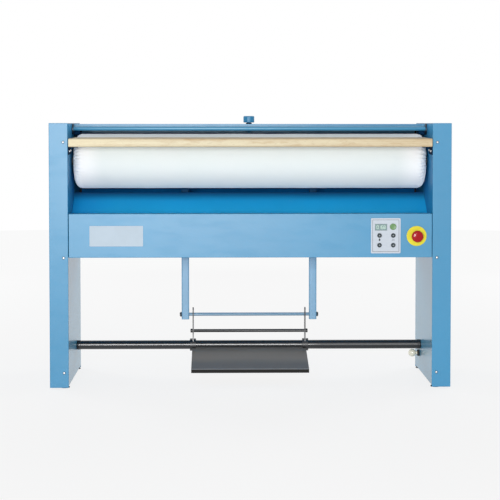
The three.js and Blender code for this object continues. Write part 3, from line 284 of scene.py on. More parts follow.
def turned(profile, centre, axis, segments=64):
    """A profile of (along, radius) points turned about an axis. It starts and ends on the axis,
    where its points are poles, or it closes on itself."""
    profile = np.asarray(profile, float)
    closed = not (profile[0, 1] == 0 and profile[-1, 1] == 0)
    ring = profile if closed else profile[1:-1]
    angle = np.linspace(0, 2 * pi, segments, endpoint=False)
    u = centre[0] + ring[:, 1:] * np.cos(angle)
    v = centre[1] + ring[:, 1:] * np.sin(angle)
    points = to_space(u, v, np.broadcast_to(ring[:, :1], u.shape), axis)
    faces = grid_faces(len(ring), segments, close_rows=closed)
    if not closed:
        poles = to_space(np.full(2, centre[0]), np.full(2, centre[1]), profile[[0, -1], 0], axis)
        first, last = len(points), len(points) + 1
        end = (len(ring) - 1) * segments
        points = np.vstack([points, poles])
        for a in range(segments):
            b = (a + 1) % segments
            faces += [(first, b, a), (last, end + a, end + b)]
    return outward(points, faces)


def lathe(node, profile, axis, material, segments=96, ending="skin"):
    """A turned piece on a node's own axis, which stands for the node."""
    replace(node, turned(profile, middle(node)[AXES[axis][:2]], axis, segments), material, ending)


def rounded_profile(profile, radius, steps=4):
    """A line of points with its inner corners rounded by arcs, as much as their sides allow."""
    points = [np.asarray(p, float) for p in profile]
    out = [points[0]]
    for before, corner, after in zip(points, points[1:], points[2:]):
        a, b = before - corner, after - corner
        la, lb = np.linalg.norm(a), np.linalg.norm(b)
        a, b = a / la, b / lb
        half = np.arccos(np.clip(np.dot(a, b), -1, 1)) / 2
        if half > radians(88):
            out.append(corner)
            continue
        reach = min(radius / tan(half), la * 0.45, lb * 0.45)
        centre = corner + (a + b) / np.linalg.norm(a + b) * (reach * tan(half) / sin(half))
        start, end = corner + a * reach - centre, corner + b * reach - centre
        side = 1 if start[0] * end[1] - start[1] * end[0] > 0 else -1
        for t in np.linspace(0, side * (pi - 2 * half), steps + 1):
            out.append(centre + np.array([start[0] * cos(t) - start[1] * sin(t),
                                          start[0] * sin(t) + start[1] * cos(t)]))
    out.append(points[-1])
    return np.array(out)


def round_ends(half, radius, edge, steps=4, centre=0.0):
    """The profile of a rod: both ends flat, with a rounded edge."""
    t = np.linspace(0, pi / 2, steps + 1)
    rise = np.stack([-half + edge * (1 - np.sin(t)), radius - edge * (1 - np.cos(t))], 1)[::-1]
    return np.vstack([[(-half, 0.0)], rise, rise[::-1] * (-1, 1), [(half, 0.0)]]) + (centre, 0)


def stacked(rings, axis, closed=False):
    """Outlines at places along an axis, joined in order. The last is joined to the first if the stack is
    closed, and otherwise the first and the last are filled."""
    count = len(rings[0][0])
    points = np.vstack([to_space(*outline.T, np.full(count, place), axis) for outline, place in rings])
    faces = grid_faces(len(rings), count, close_rows=closed)
    if not closed:
        last = (len(rings) - 1) * count
        faces += [tuple(range(count))[::-1], tuple(range(last, last + count))]
    return outward(points, faces)


def prism(loop, span, axis, edge=0.0):
    """A closed outline drawn out along an axis, whose ends may have a small chamfer of width edge."""
    loop = np.asarray(loop, float)
    if not edge:
        return stacked([(loop, span[0]), (loop, span[1])], axis)
    inside = inset(loop, edge)
    return stacked([(inside, span[0]), (loop, span[0] + edge), (loop, span[1] - edge), (inside, span[1])], axis)


def inset(loop, distance):
    """A closed outline moved inwards by a distance, corner by corner."""
    before = loop - np.roll(loop, 1, axis=0)
    after = np.roll(loop, -1, axis=0) - loop
    before /= np.linalg.norm(before, axis=1, keepdims=True)
    after /= np.linalg.norm(after, axis=1, keepdims=True)
    area = np.sum(loop[:, 0] * np.roll(loop[:, 1], -1) - loop[:, 1] * np.roll(loop[:, 0], -1))
    mitre = before + after
    mitre /= np.linalg.norm(mitre, axis=1, keepdims=True)
    normal = np.sign(area) * np.stack([-mitre[:, 1], mitre[:, 0]], 1)
    reach = 1 / np.sqrt(np.clip((1 + (before * after).sum(1)) / 2, 0.3, 1))
    return loop + normal * (distance * reach)[:, None]


def rounded_rectangle(low, high, radius, steps=6):
    """The outline of a rectangle with round corners, as (u, v) points in order."""
    corners = [(high[0] - radius, high[1] - radius, 0), (low[0] + radius, high[1] - radius, 90),
               (low[0] + radius, low[1] + radius, 180), (high[0] - radius, low[1] + radius, 270)]
    out = []
    for u, v, start in corners:
        angle = np.radians(np.linspace(start, start + 90, steps + 1))
        out.append(np.stack([u + radius * np.cos(angle), v + radius * np.sin(angle)], 1))
    return np.vstack(out)


def hexagon(across, height, centre, start, direction, axis):
    """A hexagon head: a prism whose outer corners are rounded off by a cone. It stands on start and rises in
    the direction along the axis."""
    radius = across / 2 / cos(pi / 6)
    angle = np.linspace(0, 2 * pi, 6, endpoint=False)
    ring = np.stack([np.cos(angle), np.sin(angle)], 1)
    steps = [(radius, 0.0), (radius, height * 0.88), (radius * 0.93, height), (radius * 0.6, height)]
    return stacked([(ring * r + centre, start + direction * along) for r, along in steps], axis)


def standing(profile, centre, start, direction, axis, segments=32):
    """A profile turned about an axis. It stands on start and rises in the direction."""
    return turned(np.asarray(profile) * (direction, 1) + (start, 0), centre, axis, segments)


def disc(radius, height, centre, start, direction, axis, edge=0.3 * MM, segments=32):
    """A washer or flat round part with a rounded outer edge."""
    t = np.linspace(0, pi / 2, 4)
    rim = np.stack([height - edge + edge * np.sin(t), radius - edge + edge * np.cos(t)], 1)
    return standing(np.vstack([[(0, 0), (0, radius)], rim, [(height, 0)]]), centre, start, direction, axis, segments)


def dome(radius, height, centre, start, direction, axis):
    """A round screw head: a short straight rim under a flat cap of a sphere."""
    rim = height * 0.3
    t = np.linspace(0, pi / 2, 8)
    profile = np.vstack([[(0, 0), (0, radius)], np.stack([rim + (height - rim) * np.sin(t), radius * np.cos(t)], 1)])
    profile[-1, 1] = 0
    return standing(profile, centre, start, direction, axis)


def box_edges(mesh, share, turn_deg):
    """Bevel weights by place: edges that lie on two faces of the mesh's box get 1, and the others a share.
    Edges whose two faces turn less than turn_deg get none. The mesh is closed, so each edge has two faces."""
    points = read(mesh.vertices, "co", 3)
    ends = read(mesh.edges, "vertices", 2, int)
    on_box = [np.abs(points - side) < 1e-5 for side in (points.min(0), points.max(0))]
    shared = (on_box[0][ends].all(1)) | (on_box[1][ends].all(1))
    weight = np.where(shared.sum(1) >= 2, 1.0, share)
    sizes = read(mesh.polygons, "loop_total", kind=int)
    beside = read(mesh.loops, "edge_index", kind=int)
    face = np.repeat(np.arange(len(sizes)), sizes)[np.argsort(beside, kind="stable")]
    normals = read(mesh.polygons, "normal", 3)
    weight[(normals[face[0::2]] * normals[face[1::2]]).sum(1) > cos(radians(turn_deg))] = 0
    layer = mesh.attributes.new("bevel_weight_edge", "FLOAT", "EDGE")
    layer.data.foreach_set("value", weight)


def dress(node, material, outer=0.8, fine=0.4, segments=3, smooth_deg=32.0):
    """A copy of a node with its loose triangles joined, which stands for the node. Its edges are rounded: more
    on its outline, less inside, in millimetres."""
    work = bmesh.new()
    work.from_mesh(frame["nodes"][node].data)
    bmesh.ops.remove_doubles(work, verts=work.verts, dist=1e-6)
    bmesh.ops.dissolve_limit(work, angle_limit=radians(0.5), verts=work.verts, edges=work.edges)
    mesh = bpy.data.meshes.new(node + "_skin")
    work.to_mesh(mesh)
    work.free()
    piece = add_mesh(node + "_skin", mesh, material, BODY_OF[node], smooth_deg)
    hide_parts(node)
    box_edges(mesh, fine / outer, smooth_deg)
    bevel = piece.modifiers.new("edges", "BEVEL")
    bevel.width = outer * MM
    bevel.segments = segments
    bevel.limit_method = "WEIGHT"
    bevel.use_clamp_overlap = True
    piece.modifiers.new("even_normals", "WEIGHTED_NORMAL").keep_sharp = True


# --- what a user may change


def colour(name, description, *screen):
    """A colour property whose default is given as it looks on screen, from 0 to 255."""
    return FloatVectorProperty(name=name, description=description, subtype="COLOR", size=3, min=0.0, max=1.0,
                               default=linear(*screen))


def number(name, description, default, low, high, subtype="DISTANCE", unit="LENGTH"):
    """A number property, which is a length in metres if nothing else is said."""
    return FloatProperty(name=name, description=description, default=default, min=low, max=high, subtype=subtype,
                         unit=unit)


ANGLE = ("ANGLE", "ROTATION")
PLAIN = ("NONE", "NONE")


class IronerPaint(bpy.types.PropertyGroup):
    """Colours and finish of the painted metal."""

    body: colour("Body", "Powder coat of the casings and panels", 43, 132, 175)
    # Painted light: the tray and underside get a paler, brighter blue than the body, which makes up for the shade
    # under the roll.
    shade: colour("Tray", "Powder coat of the linen tray and the underside", 28, 170, 228)
    # Painted sheen: the arms, and the tie rod's paint drawn from this colour, get a paler blue than the body, which
    # stands for their hazy reflection of the lamp.
    bright: colour("Linkage", "Paler paint of the arms and tie rod", 114, 160, 190)
    guard: colour("Guard", "Gloss paint of the finger guard", 58, 140, 180)
    tube: colour("Tube", "Gloss paint of the cross tube, bar and levers", 20, 22, 26)
    pedal: colour("Pedal", "Satin paint of the pedal plate", 122, 114, 106)
    machine: colour("Machine", "Paint of the gearmotor, bearings and roll ends", 66, 70, 74)
    peel: number("Orange peel", "Distance between the waves of the powder coat", 0.0016, 0.0003, 0.01)
    wave: number("Wave height", "Height of the powder coat's waves", 0.000018, 0.0, 0.001)


class IronerCloth(bpy.types.PropertyGroup):
    """The padded roll and its cloth."""

    colour: colour("Cloth", "Ironing cloth round the roll", 231, 239, 240)
    thread: number("Thread", "Distance between the threads of the cloth", 0.0011, 0.0003, 0.01)
    gathers: IntProperty(name="Gathers", description="Folds round each end, where the cord draws the cloth in",
                         default=46, min=0, max=200)
    gather_height: number("Gather height", "Height of the folds", 0.0046, 0.0, 0.01)


class IronerWood(bpy.types.PropertyGroup):
    """The feed board."""

    pale: colour("Pale wood", "Early wood of the feed board", 208, 198, 166)
    dark: colour("Dark wood", "Late wood and pores of the feed board", 176, 148, 108)


class IronerControls(bpy.types.PropertyGroup):
    """Colours of the controls."""

    plate: colour("Plate", "Satin foil of the control plate", 188, 196, 206)
    line: colour("Line", "Printed line round the control plate", 92, 98, 108)
    window: colour("Window", "Grey-green display", 126, 150, 150)
    digit: colour("Digit", "Segments of the display", 206, 236, 216)
    start: colour("Start", "Green button", 92, 134, 78)
    button: colour("Button", "Dark buttons", 34, 46, 52)
    warning: colour("Warning disc", "Yellow disc under the stop button", 222, 210, 44)
    stop: colour("Stop", "Red mushroom head", 160, 8, 20)
    knob: colour("Knob", "Cream ball of the low knob", 240, 233, 212)
    label: colour("Label", "Bare label plate", 172, 188, 201)


class IronerStage(bpy.types.PropertyGroup):
    """Camera, lights and floor."""

    distance: number("Distance", "From the camera to the middle of the machine", 6.5225, 1.0, 30.0)
    aside: number("Aside", "How far the camera stands to the left of the middle", 0.1194, -3.0, 3.0)
    height: number("Height", "Height of the camera over the floor", 1.0853, 0.1, 5.0)
    pan: number("Pan", "Turn of the camera to the right", 0.0186, -1.0, 1.0, *ANGLE)
    tilt: number("Tilt", "Tilt of the camera downwards", 0.0431, -1.0, 1.0, *ANGLE)
    lens: number("Lens", "Focal length in millimetres, for a 36 mm sensor", 110.58, 10.0, 400.0, *PLAIN)
    shift: number("Shift", "Vertical shift of the lens", -0.12, -1.0, 1.0, *PLAIN)
    key: number("Key light", "Power of the large soft light left of the camera, in watts", 310.0, 0.0, 2000.0, *PLAIN)
    fill: number("Fill", "Strength of the even light from all sides", 0.36, 0.0, 3.0, *PLAIN)
    faint: number("Faint shadow", "How much of the floor's own shade the camera sees", 0.14, 0.0, 1.0, *PLAIN)
    floor: colour("Floor", "Plain pale floor", 246, 246, 247)


SETTINGS = {
    "ironer_paint": IronerPaint,
    "ironer_cloth": IronerCloth,
    "ironer_wood": IronerWood,
    "ironer_controls": IronerControls,
    "ironer_stage": IronerStage,
}


# --- finishes

FINISHES = {}


def made_once(make):
    """Makes each finish once, when a piece first asks for it."""
    def once(*args):
        key = (make.__name__, *args)
        if key not in FINISHES:
            FINISHES[key] = make(*args)
        return FINISHES[key]
    return once


def setting(group, name):
    """A colour out of the scene's settings."""
    return tuple(getattr(getattr(bpy.context.scene, "ironer_" + group), name))


@made_once
def powder_coat(slot_name, colour_name, gloss, coat=0.3, coat_gloss=0.26):
    """Semi-gloss powder coat: a fine orange peel, broad faint clouds in its colour and fine dust in its sheen."""
    paint = bpy.context.scene.ironer_paint
    colour = setting("paint", colour_name)
    s = Shader(slot_name)
    mottle = s.noise(42.0, 4.0, 0.6)
    base = s.shades(s.noise(1.7, 3.0).between(0.3, 0.7), colour, 0.965, 1.03)
    base = s.mix(mottle.between(0.45, 0.8) * 0.22, base, tint(colour, 1.09))
    height = s.noise(1 / paint.peel, 2.0, 0.45) * 0.7 + s.noise(1 / (paint.peel * 7), 1.0)
    handled = s.noise(3.1, 5.0, 0.62, stretch=(3.0, 3.0, 9.0))
    rough = gloss + handled.between(0.42, 0.75) * 0.08 + mottle * 0.03
    return s.finish(base, rough, s.bump(height, paint.wave * 2), coat, coat_gloss, IOR=1.5)


@made_once
def gloss_black(slot_name, gloss, wear):
    """Gloss black paint, with fine dust, hairline scratches, a greyer sheen where it is rubbed and a duller
    end on the right."""
    s = Shader(slot_name)
    dust = s.noise(260.0, 4.0, 0.7)
    rubbed = s.noise(4.0, 5.0, 0.6, stretch=(2.0, 6.0, 6.0))
    scratch = s.noise(3.0, 2.0, stretch=(9.0, 420.0, 420.0))
    worn = rubbed.between(0.55, 0.8) * wear
    dull = s.axes()[0].between(0.24, 0.32)
    base = s.mix(worn, setting("paint", "tube"), (0.23, 0.23, 0.24))
    base = s.mix(dust.between(0.62, 0.85) * 0.12, base, (0.5, 0.5, 0.48))
    rough = gloss + worn * 0.25 + dust * 0.04 + dull * 0.2
    return s.finish(base, rough, s.bump(scratch * 0.5 + dust, 0.0000012), 0.2 - dull * 0.2, 0.16)


@made_once
def pedal_paint():
    """Satin grey paint, scuffed by shoes: streaks from front to rear, and painted shade that makes it darker and
    bluer towards the front. The lip is black below a painted highlight, a pale line along its fold."""
    colour = setting("paint", "pedal")
    front, fold = LOW["pedal_plate"][1], LOW["pedal_plate"][2] + 15.5 * MM
    s = Shader("pedal_grey")
    _, y, z = s.axes()
    scuff = s.noise(2.2, 6.0, 0.68, stretch=(60.0, 7.0, 20.0), distortion=0.3)
    patch = s.noise(9.0, 4.0)
    rubbed = scuff.between(0.52, 0.74) * patch.between(0.35, 0.7)
    base = s.mix(rubbed * 0.4, colour, (0.26, 0.255, 0.25))
    base = s.mix(patch.between(0.5, 0.75) * 0.3, base, tint(colour, 0.74))
    # Painted shade: darker and bluer towards the front of the plate.
    shaded_front = (y + patch * 0.04).between(front + 0.16, front + 0.07)
    base = s.mix(shaded_front * 0.75, base, (0.062, 0.072, 0.085))
    lip = y.between(front + 6 * MM, front + 2 * MM) * z.between(fold, fold - 2 * MM)
    base = s.mix(lip, base, (0.006, 0.006, 0.005))
    # Painted highlight: a pale line along the fold above the black lip.
    edge = y.between(front + 7 * MM, front + 4 * MM) * z.between(fold - 0.5 * MM, fold + 0.5 * MM)
    base = s.mix(edge * 0.7, base, (0.3, 0.3, 0.31))
    normal = s.bump(s.noise(700.0, 3.0, 0.6) + scuff * 0.6, 0.00006)
    return s.finish(base, 0.5 + rubbed * 0.12 + lip * 0.42, normal)


@made_once
def plated(slot_name, colour, gloss, brushed):
    """Plated or plain metal: fine brushing along X, and clouds where the plating is thicker."""
    s = Shader(slot_name)
    clouds = s.noise(30.0, 4.0, 0.6)
    streak = s.noise(1.5, 3.0, stretch=(12.0, 900.0, 900.0))
    base = s.shades(clouds.between(0.35, 0.7), colour, 0.86, 1.05)
    normal = s.bump(streak * brushed + s.noise(600.0, 3.0) * (1 - brushed), 0.00003)
    return s.finish(base, gloss + clouds * 0.1 + streak * 0.06, normal, Metallic=1.0)


def steel():
    """Bare steel with a brushed face."""
    return plated("steel", (0.42, 0.43, 0.45), 0.34, 0.7)


def zinc():
    """Bright zinc plating on small screws."""
    return plated("zinc", (0.66, 0.67, 0.69), 0.3, 0.35)


@made_once
def rod_paint(bare):
    """Gloss paint of the tie rod, whose nuts beyond the distance bare from the middle are dark steel."""
    s = Shader("rod_paint")
    ends = s.axes()[0].size() > bare
    base = s.mix(ends, tint(setting("paint", "bright"), 0.72), (0.05, 0.052, 0.055))
    return s.finish(base, 0.3 + s.noise(120.0, 3.0) * 0.06, None, 0.6, 0.25, Metallic=ends * 0.6)


@made_once
def arm_paint(low, high):
    """The arms' pale coat, which gives way to a dull navy between two heights: painted shade on the arms' upper ends,
    which sit under the body.
    """
    s = Shader("arm_paint")
    clouds = s.noise(6.0, 3.0)
    # Painted shade: the arms turn dull navy towards their upper ends, under the body.
    upper_shade = s.axes()[2].between(low, high)
    base = s.shades(clouds.between(0.3, 0.7), setting("paint", "bright"), 0.96, 1.04)
    base = s.mix(upper_shade, base, (0.004, 0.08, 0.21))
    return s.finish(base, 0.4 + clouds * 0.06 + upper_shade * 0.45, s.peel(1), 0.3 - upper_shade * 0.3, 0.2)


@made_once
def matt_navy(slot_name, *screen):
    """Dull paint with faint clouds, which reflects next to nothing: painted shade, used for parts and sheets that sit
    in the dark round the roll and under the board.
    """
    s = Shader(slot_name)
    grain = s.noise(400.0, 3.0)
    base = s.shades(s.noise(5.0, 4.0).between(0.3, 0.7), linear(*screen), 0.92, 1.06)
    return s.finish(base, 0.88 + grain * 0.08, s.bump(grain, 0.00004), Specular_IOR_Level=0.12)


@made_once
def wall_paint():
    """Semi-gloss powder coat of the inner walls, duller round the roll. Its colour holds painted light: a deep blue
    round the roll is painted shade, and a greyer tone lower down is a painted reflection of the pale floor.
    """
    s = Shader("wall_paint")
    z = s.axes()[2]
    # Painted shade above and a painted reflection of the floor below.
    shaded_blue, pale = linear(28, 135, 189), linear(69, 133, 161)
    base = s.mix(z.between(0.62, 0.5), shaded_blue, pale)
    base = s.mix(s.noise(1.7, 3.0).between(0.3, 0.7) * 0.12, base, tint(pale, 0.8))
    upper = z.between(0.6, 0.75)
    rough = 0.34 + s.noise(42.0, 4.0, 0.6) * 0.05 + upper * 0.2
    return s.finish(base, rough, s.peel(2), 0.4 - upper * 0.25, 0.12)


@made_once
def tray_paint(rear):
    """Powder coat of the linen tray in the tray blue, with painted shade: darker in the last few centimetres next to
    the chest, where the roll's shadow falls, and darker towards the left end.
    """
    colour = setting("paint", "shade")
    s = Shader("tray_paint")
    x, y, _ = s.axes()
    clouds = s.noise(2.4, 3.0)
    slid = s.noise(2.0, 5.0, 0.6, stretch=(30.0, 3.0, 3.0))
    base = s.shades(clouds.between(0.3, 0.7), colour, 0.95, 1.05)
    # Painted shade: darker towards the left end.
    base = s.mix(x.between(-0.55, -0.74) * 0.4, base, linear(0, 128, 209))
    # Painted shade: darker, duller and uncoated next to the chest, under the roll's shadow.
    near = (y + clouds * 0.02).between(rear - 0.05, rear + 0.008)
    base = s.mix(near, base, linear(0, 77, 128))
    rough = 0.4 + slid.between(0.45, 0.75) * 0.06 + near * 0.3
    return s.finish(base, rough, s.peel(2), 0.2 - near * 0.2, 0.26)


@made_once
def cast_shoe(axis_y, axis_z, polished):
    """Aluminium shoe: machined bright on the curved face within a radius of the roll's axis, and dark elsewhere:
    painted shade, as the shoe sits in the dark behind the roll."""
    s = Shader("aluminium")
    _, y, z = s.axes()
    away_y, away_z = y - axis_y, z - axis_z
    bright = (away_y * away_y + away_z * away_z) ** 0.5 < polished
    grain = s.noise(380.0, 4.0, 0.65)
    # Painted shade: dark everywhere but the machined face.
    base = s.mix(bright, (0.075, 0.08, 0.09), (0.78, 0.79, 0.80))
    return s.finish(base, 0.6 - bright * 0.34 + grain * 0.08, s.bump(grain, 0.0001), Metallic=0.35 + bright * 0.65)


@made_once
def cast_paint():
    """Grey machine paint over cast metal, with the casting's grain showing through."""
    s = Shader("cast_grey")
    grain = s.noise(320.0, 5.0, 0.7)
    base = s.shades(s.noise(14.0, 4.0).between(0.35, 0.7), setting("paint", "machine"), 0.9, 1.1)
    return s.finish(base, 0.5 + grain * 0.16, s.bump(grain, 0.00022))


@made_once
def plastic(slot_name, colour, gloss, grain_height=0.00002, shine=0.5):
    """Moulded plastic: a fine moulded grain, and a sheen that varies a little."""
    s = Shader(slot_name)
    flow = s.noise(55.0, 3.0)
    base = s.shades(flow.between(0.3, 0.7), colour, 0.95, 1.05)
    normal = s.bump(s.noise(1400.0) + flow * 0.5, grain_height)
    return s.finish(base, gloss + flow * 0.08, normal, Specular_IOR_Level=shine)


@made_once
def rubber():
    """Black moulded rubber with a dull dusty bloom."""
    s = Shader("rubber")
    bloom = s.noise(90.0, 5.0, 0.65)
    base = s.mix(bloom.between(0.4, 0.75), (0.012, 0.012, 0.013), (0.035, 0.034, 0.033))
    return s.finish(base, 0.68 + bloom * 0.2, s.bump(s.noise(1300.0), 0.00005))


@made_once
def foil(slot_name, colour):
    """Satin printed foil or anodised plate: very fine grain and an even soft sheen."""
    s = Shader(slot_name)
    grain = s.noise(2200.0)
    base = s.shades(s.noise(18.0, 3.0).between(0.3, 0.7), colour, 0.975, 1.02)
    return s.finish(base, 0.46 + grain * 0.12, s.bump(grain, 0.00002))


@made_once
def beech_wood():
    """Clear-lacquered beech: long rings along X, fine dark flecks, and end grain on the board's ends. It is paler to
    the left and darker to the right: painted light, as the light falls from the left.
    """
    pale, dark = setting("wood", "pale"), setting("wood", "dark")
    s = Shader("beech")
    x, y, z = s.axes()
    drift = s.noise(1.6, 3.0, stretch=(0.55, 5.0, 5.0))
    long_grain = s.noise(1.0, 5.0, 0.62, stretch=(1.6, 95.0, 95.0), distortion=0.15)
    rings = (z * 150.0 + y * 46.0 + drift * 9.0).sine()
    fleck = s.noise(1.0, stretch=(45.0, 520.0, 520.0))
    tone = s.noise(1.2, stretch=(0.8, 3.0, 3.0))
    blotch = s.noise(1.3, 4.0, 0.6, stretch=(13.0, 70.0, 70.0))
    grain = rings * 0.16 + long_grain.between(0.35, 0.65) * 0.34 + tone.between(0.3, 0.7) * 0.2
    base = s.mix(grain + blotch.between(0.45, 0.68) * 0.4, pale, dark)
    # Painted light: darker towards the right end and paler towards the left.
    base = s.mix(x.between(0.0, 0.7) * 0.34, base, tint(dark, 1.15))
    base = s.mix(x.between(-0.3, -0.74) * 0.5, base, tint(pale, 1.2))
    base = s.mix(fleck.between(0.62, 0.72) * 0.55, base, tint(dark, 0.62))
    normal = s.bump(long_grain + fleck * 0.7, 0.00009)
    return s.finish(base, 0.46 + long_grain * 0.12, normal, 0.12, 0.36)


@made_once
def ironing_cloth():
    """White cotton ironing cloth: a plain weave in the piece's own UV map, counted in metres, over soft felt. It is
    painted whiter near the ends: painted light, which makes up for the shade on the shoulders."""
    colour = setting("cloth", "colour")
    turns = 2 * pi / bpy.context.scene.ironer_cloth.thread
    s = Shader("padding")
    u, v, _ = s.axes("UV")
    weave = (u * turns).sine() * (v * turns).sine()
    felt = s.noise(26.0, 4.0)
    used = s.noise(2.2, 4.0, stretch=(2.5, 1.0, 1.0))
    base = s.mix(weave.between(-1.0, 1.0) * 0.28, colour, tint(colour, 0.87))
    base = s.mix(used.between(0.42, 0.72) * 0.22, base, (0.83, 0.85, 0.87))
    # Painted light: whiter near the ends.
    base = s.mix(s.axes()[0].size().between(0.60, 0.706), base, (0.98, 0.99, 1.0))
    slub = s.noise(3.0, 3.0, stretch=(90.0, 9.0, 9.0))
    height = weave * 0.45 + slub * 0.5 + s.noise(1500.0, 3.0, 0.7) * 0.35 + felt * 2.2
    return s.finish(base, 0.9 + felt * 0.08, s.bump(height, 0.0003), Sheen_Weight=0.8, Sheen_Roughness=0.5)


@made_once
def display_glass():
    """Grey-green display window: a glossy front with a faint haze."""
    s = Shader("display")
    haze = s.noise(60.0, 3.0)
    base = s.shades(haze.between(0.3, 0.7), setting("controls", "window"), 0.92, 1.05)
    return s.finish(base, 0.14 + haze * 0.05, None, 0.5, 0.05)


# --- pieces: body and front


def rear_seals():
    """A flat rubber strip down each side of the rear panel, on its inner face, over the gap to the wall.
    Between the strips, a matt blue sheet covers the panel behind the roll: painted shade, which keeps the gap under
    the roll deep blue."""
    edge, back = HIGH["rear_panel"][0], HIGH["rear_panel"][1] - 2 * MM
    low, high = LOW["rear_panel"][2] + 30 * MM, HIGH["rear_panel"][2] - 10 * MM
    strips = []
    for sign in (-1, 1):
        near, far = sign * (edge - 6 * MM), sign * (edge + 2.15 * MM)
        strips.append(prism([(near, low), (far, low), (far, high), (near, high)], (back - 1.6 * MM, back), "Y"))
    add_piece("rear_seals", joined(strips), rubber())
    # Painted shade: a matt blue sheet behind the roll, where only shade is seen.
    half, bottom, top = edge - 6.5 * MM, 0.60, 0.92
    shade_sheet = rounded_rectangle((-half, bottom), (half, top), 4 * MM)
    add_piece("rear_heat_shield", prism(shade_sheet, (back - 1.0 * MM, back), "Y", edge=0.3 * MM),
              matt_navy("shield_paint", 6, 128, 212))


def rubber_foot(node):
    """A rubber pad with a soft shoulder, turned about Z; its stud is a separate surface."""
    centre, low, high, radius = middle(node)[:2], LOW[node][2], HIGH[node][2], half_size(node, 0)
    pad = rounded_profile([(low, 0), (low, radius - 1 * MM), (low + 3 * MM, radius), (low + 7 * MM, radius * 0.7),
                           (low + 8 * MM, radius * 0.3), (low + 8 * MM, 0)], 1.2 * MM)
    stud = round_ends((high - low) / 2 - 5 * MM, 5 * MM, 0.6 * MM, centre=(high + low) / 2 + 4 * MM)
    replace(node, joined([turned(pad, centre, "Z", 48), turned(stud, centre, "Z", 24)]), rubber())


class IRONER_OT_body(bpy.types.Operator):
    """Casings, inner walls, feet, rear panel, underside and top cover"""
    bl_idname = "ironer.body"
    bl_label = "Body"

    def execute(self, context):
        blue = powder_coat("blue_paint", "body", 0.45, 0.36)
        for side in ("left", "right"):
            dress(f"{side}_casing", blue, outer=2.6, fine=0.5, segments=5)
            dress(f"{side}_inner_wall", wall_paint(), outer=1.6, fine=0.6)
            for end in ("front", "rear"):
                rubber_foot(f"{side}_{end}_foot")
        dress("rear_panel", blue, outer=1.6, fine=0.5)
        dress("top_cover", blue, outer=1.2, segments=2)
        # Painted light: the underside takes the paler tray blue.
        dress("bottom_cover", powder_coat("dark_blue_paint", "shade", 0.42))
        rear_seals()
        return {"FINISHED"}


class IRONER_OT_front(bpy.types.Operator):
    """Front panel and linen tray"""
    bl_idname = "ironer.front"
    bl_label = "Front panel and tray"

    def execute(self, context):
        blue = powder_coat("panel_paint", "body", 0.45, 0.45, 0.3)
        dress("front_panel", blue, outer=2.2, fine=0.5, segments=4)
        dress("linen_tray", tray_paint(float(HIGH["linen_tray"][1])), outer=1.4, fine=0.6)
        return {"FINISHED"}


# --- pieces: roll


def roll_padding(cloth):
    """The padding is a sleeve about X. Its outer line runs straight between two shoulders, which are full
    quarter ovals, x = a sin(t)^k and r = b cos(t)^k, down to a flat hem round the hole of the journal,
    where it turns in. Folds run down the shoulders: their height is a sine of the angle, with a second
    sine that makes them uneven, and it fades towards the middle of the roll."""
    node = "roll_padding"
    centre, radius, half = middle(node)[1:], half_size(node), HIGH[node][0] - 1.2 * MM
    hole, hem, reach, fold_in, power = 41 * MM, 48 * MM, 43 * MM, 9 * MM, 0.72
    t = np.linspace(0, pi / 2, 26)
    shoulder = np.stack([half - reach + reach * np.sin(t) ** power,
                         hem + (radius - hem) * np.cos(t) ** power], 1)
    inner = [(half, hem - 2 * MM), (half - 0.2 * MM, hole + 1 * MM), (half - 1.4 * MM, hole - 0.4 * MM),
             (half - fold_in, hole)]
    straight = np.linspace(0, half - reach, 90)[:-1]
    line = np.vstack([np.stack([straight, np.full(len(straight), radius)], 1), shoulder, inner])
    line = np.vstack([line[:0:-1] * (-1, 1), line])
    x, r = line[:, :1], line[:, 1:]
    across = 320
    angle = np.linspace(0, 2 * pi, across, endpoint=False)
    edge = np.clip((np.abs(x) - (half - 56 * MM)) / (50 * MM), 0, 1)
    edge = edge * edge * (3 - 2 * edge)
    depth = cloth.gather_height * edge * np.clip((r - hole) / (radius - hole) * 2.2, 0, 1)
    wander = 0.5 * np.sin(3 * angle + 1.3) + 0.35 * np.sin(7 * angle + 0.4 + 2 * np.sign(x))
    folds = np.sin(cloth.gathers * angle + 2.4 * wander + 0.9 * np.sign(x))
    folds = folds - 0.6 + 0.35 * np.sin(2 * cloth.gathers * angle + 5 * wander)
    long_waves = 0.15 * MM * (np.sin(18.9 * x + 2 * angle) + np.sin(25.9 * x - 3 * angle + 1.7)) - 1 * MM
    swell = r + depth * (folds * 0.3 + 0.05) + long_waves * np.clip((r - hole) / 0.02, 0, 1)
    shift = -np.sign(x) * depth * np.clip(0.5 - 0.5 * folds, 0, 1)
    points = to_space(centre[0] + swell * np.cos(angle), centre[1] + swell * np.sin(angle), x + shift, "X")
    shape = outward(points, grid_faces(len(line), across))
    piece = add_piece("roll_cloth", shape, ironing_cloth(), "roll", 60)
    along = np.concatenate([[0], np.cumsum(np.hypot(*np.diff(line, axis=0).T))])
    unwrap(piece.data, np.repeat(along, across), np.tile(angle * radius, len(line)), 2 * pi * radius)
    wall = piece.modifiers.new("felt", "SOLIDIFY")
    wall.thickness = 6 * MM
    wall.offset = -1
    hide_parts(node)


def unwrap(mesh, rows, columns, turn):
    """A UV map in metres: along the profile, and round the roll at its outer radius."""
    corners = read(mesh.loops, "vertex_index", kind=int)
    quads = read(mesh.polygons, "loop_start", kind=int)[:, None] + np.arange(4)
    u, v = rows[corners], columns[corners]
    value = v[quads]
    wraps = (value.max(1) - value.min(1)) > turn / 2
    value[wraps] += np.where(value[wraps] < turn / 2, turn, 0)
    v[quads] = value
    mesh.uv_layers.new(name="UVMap").data.foreach_set("uv", np.stack([u, v], 1).ravel())


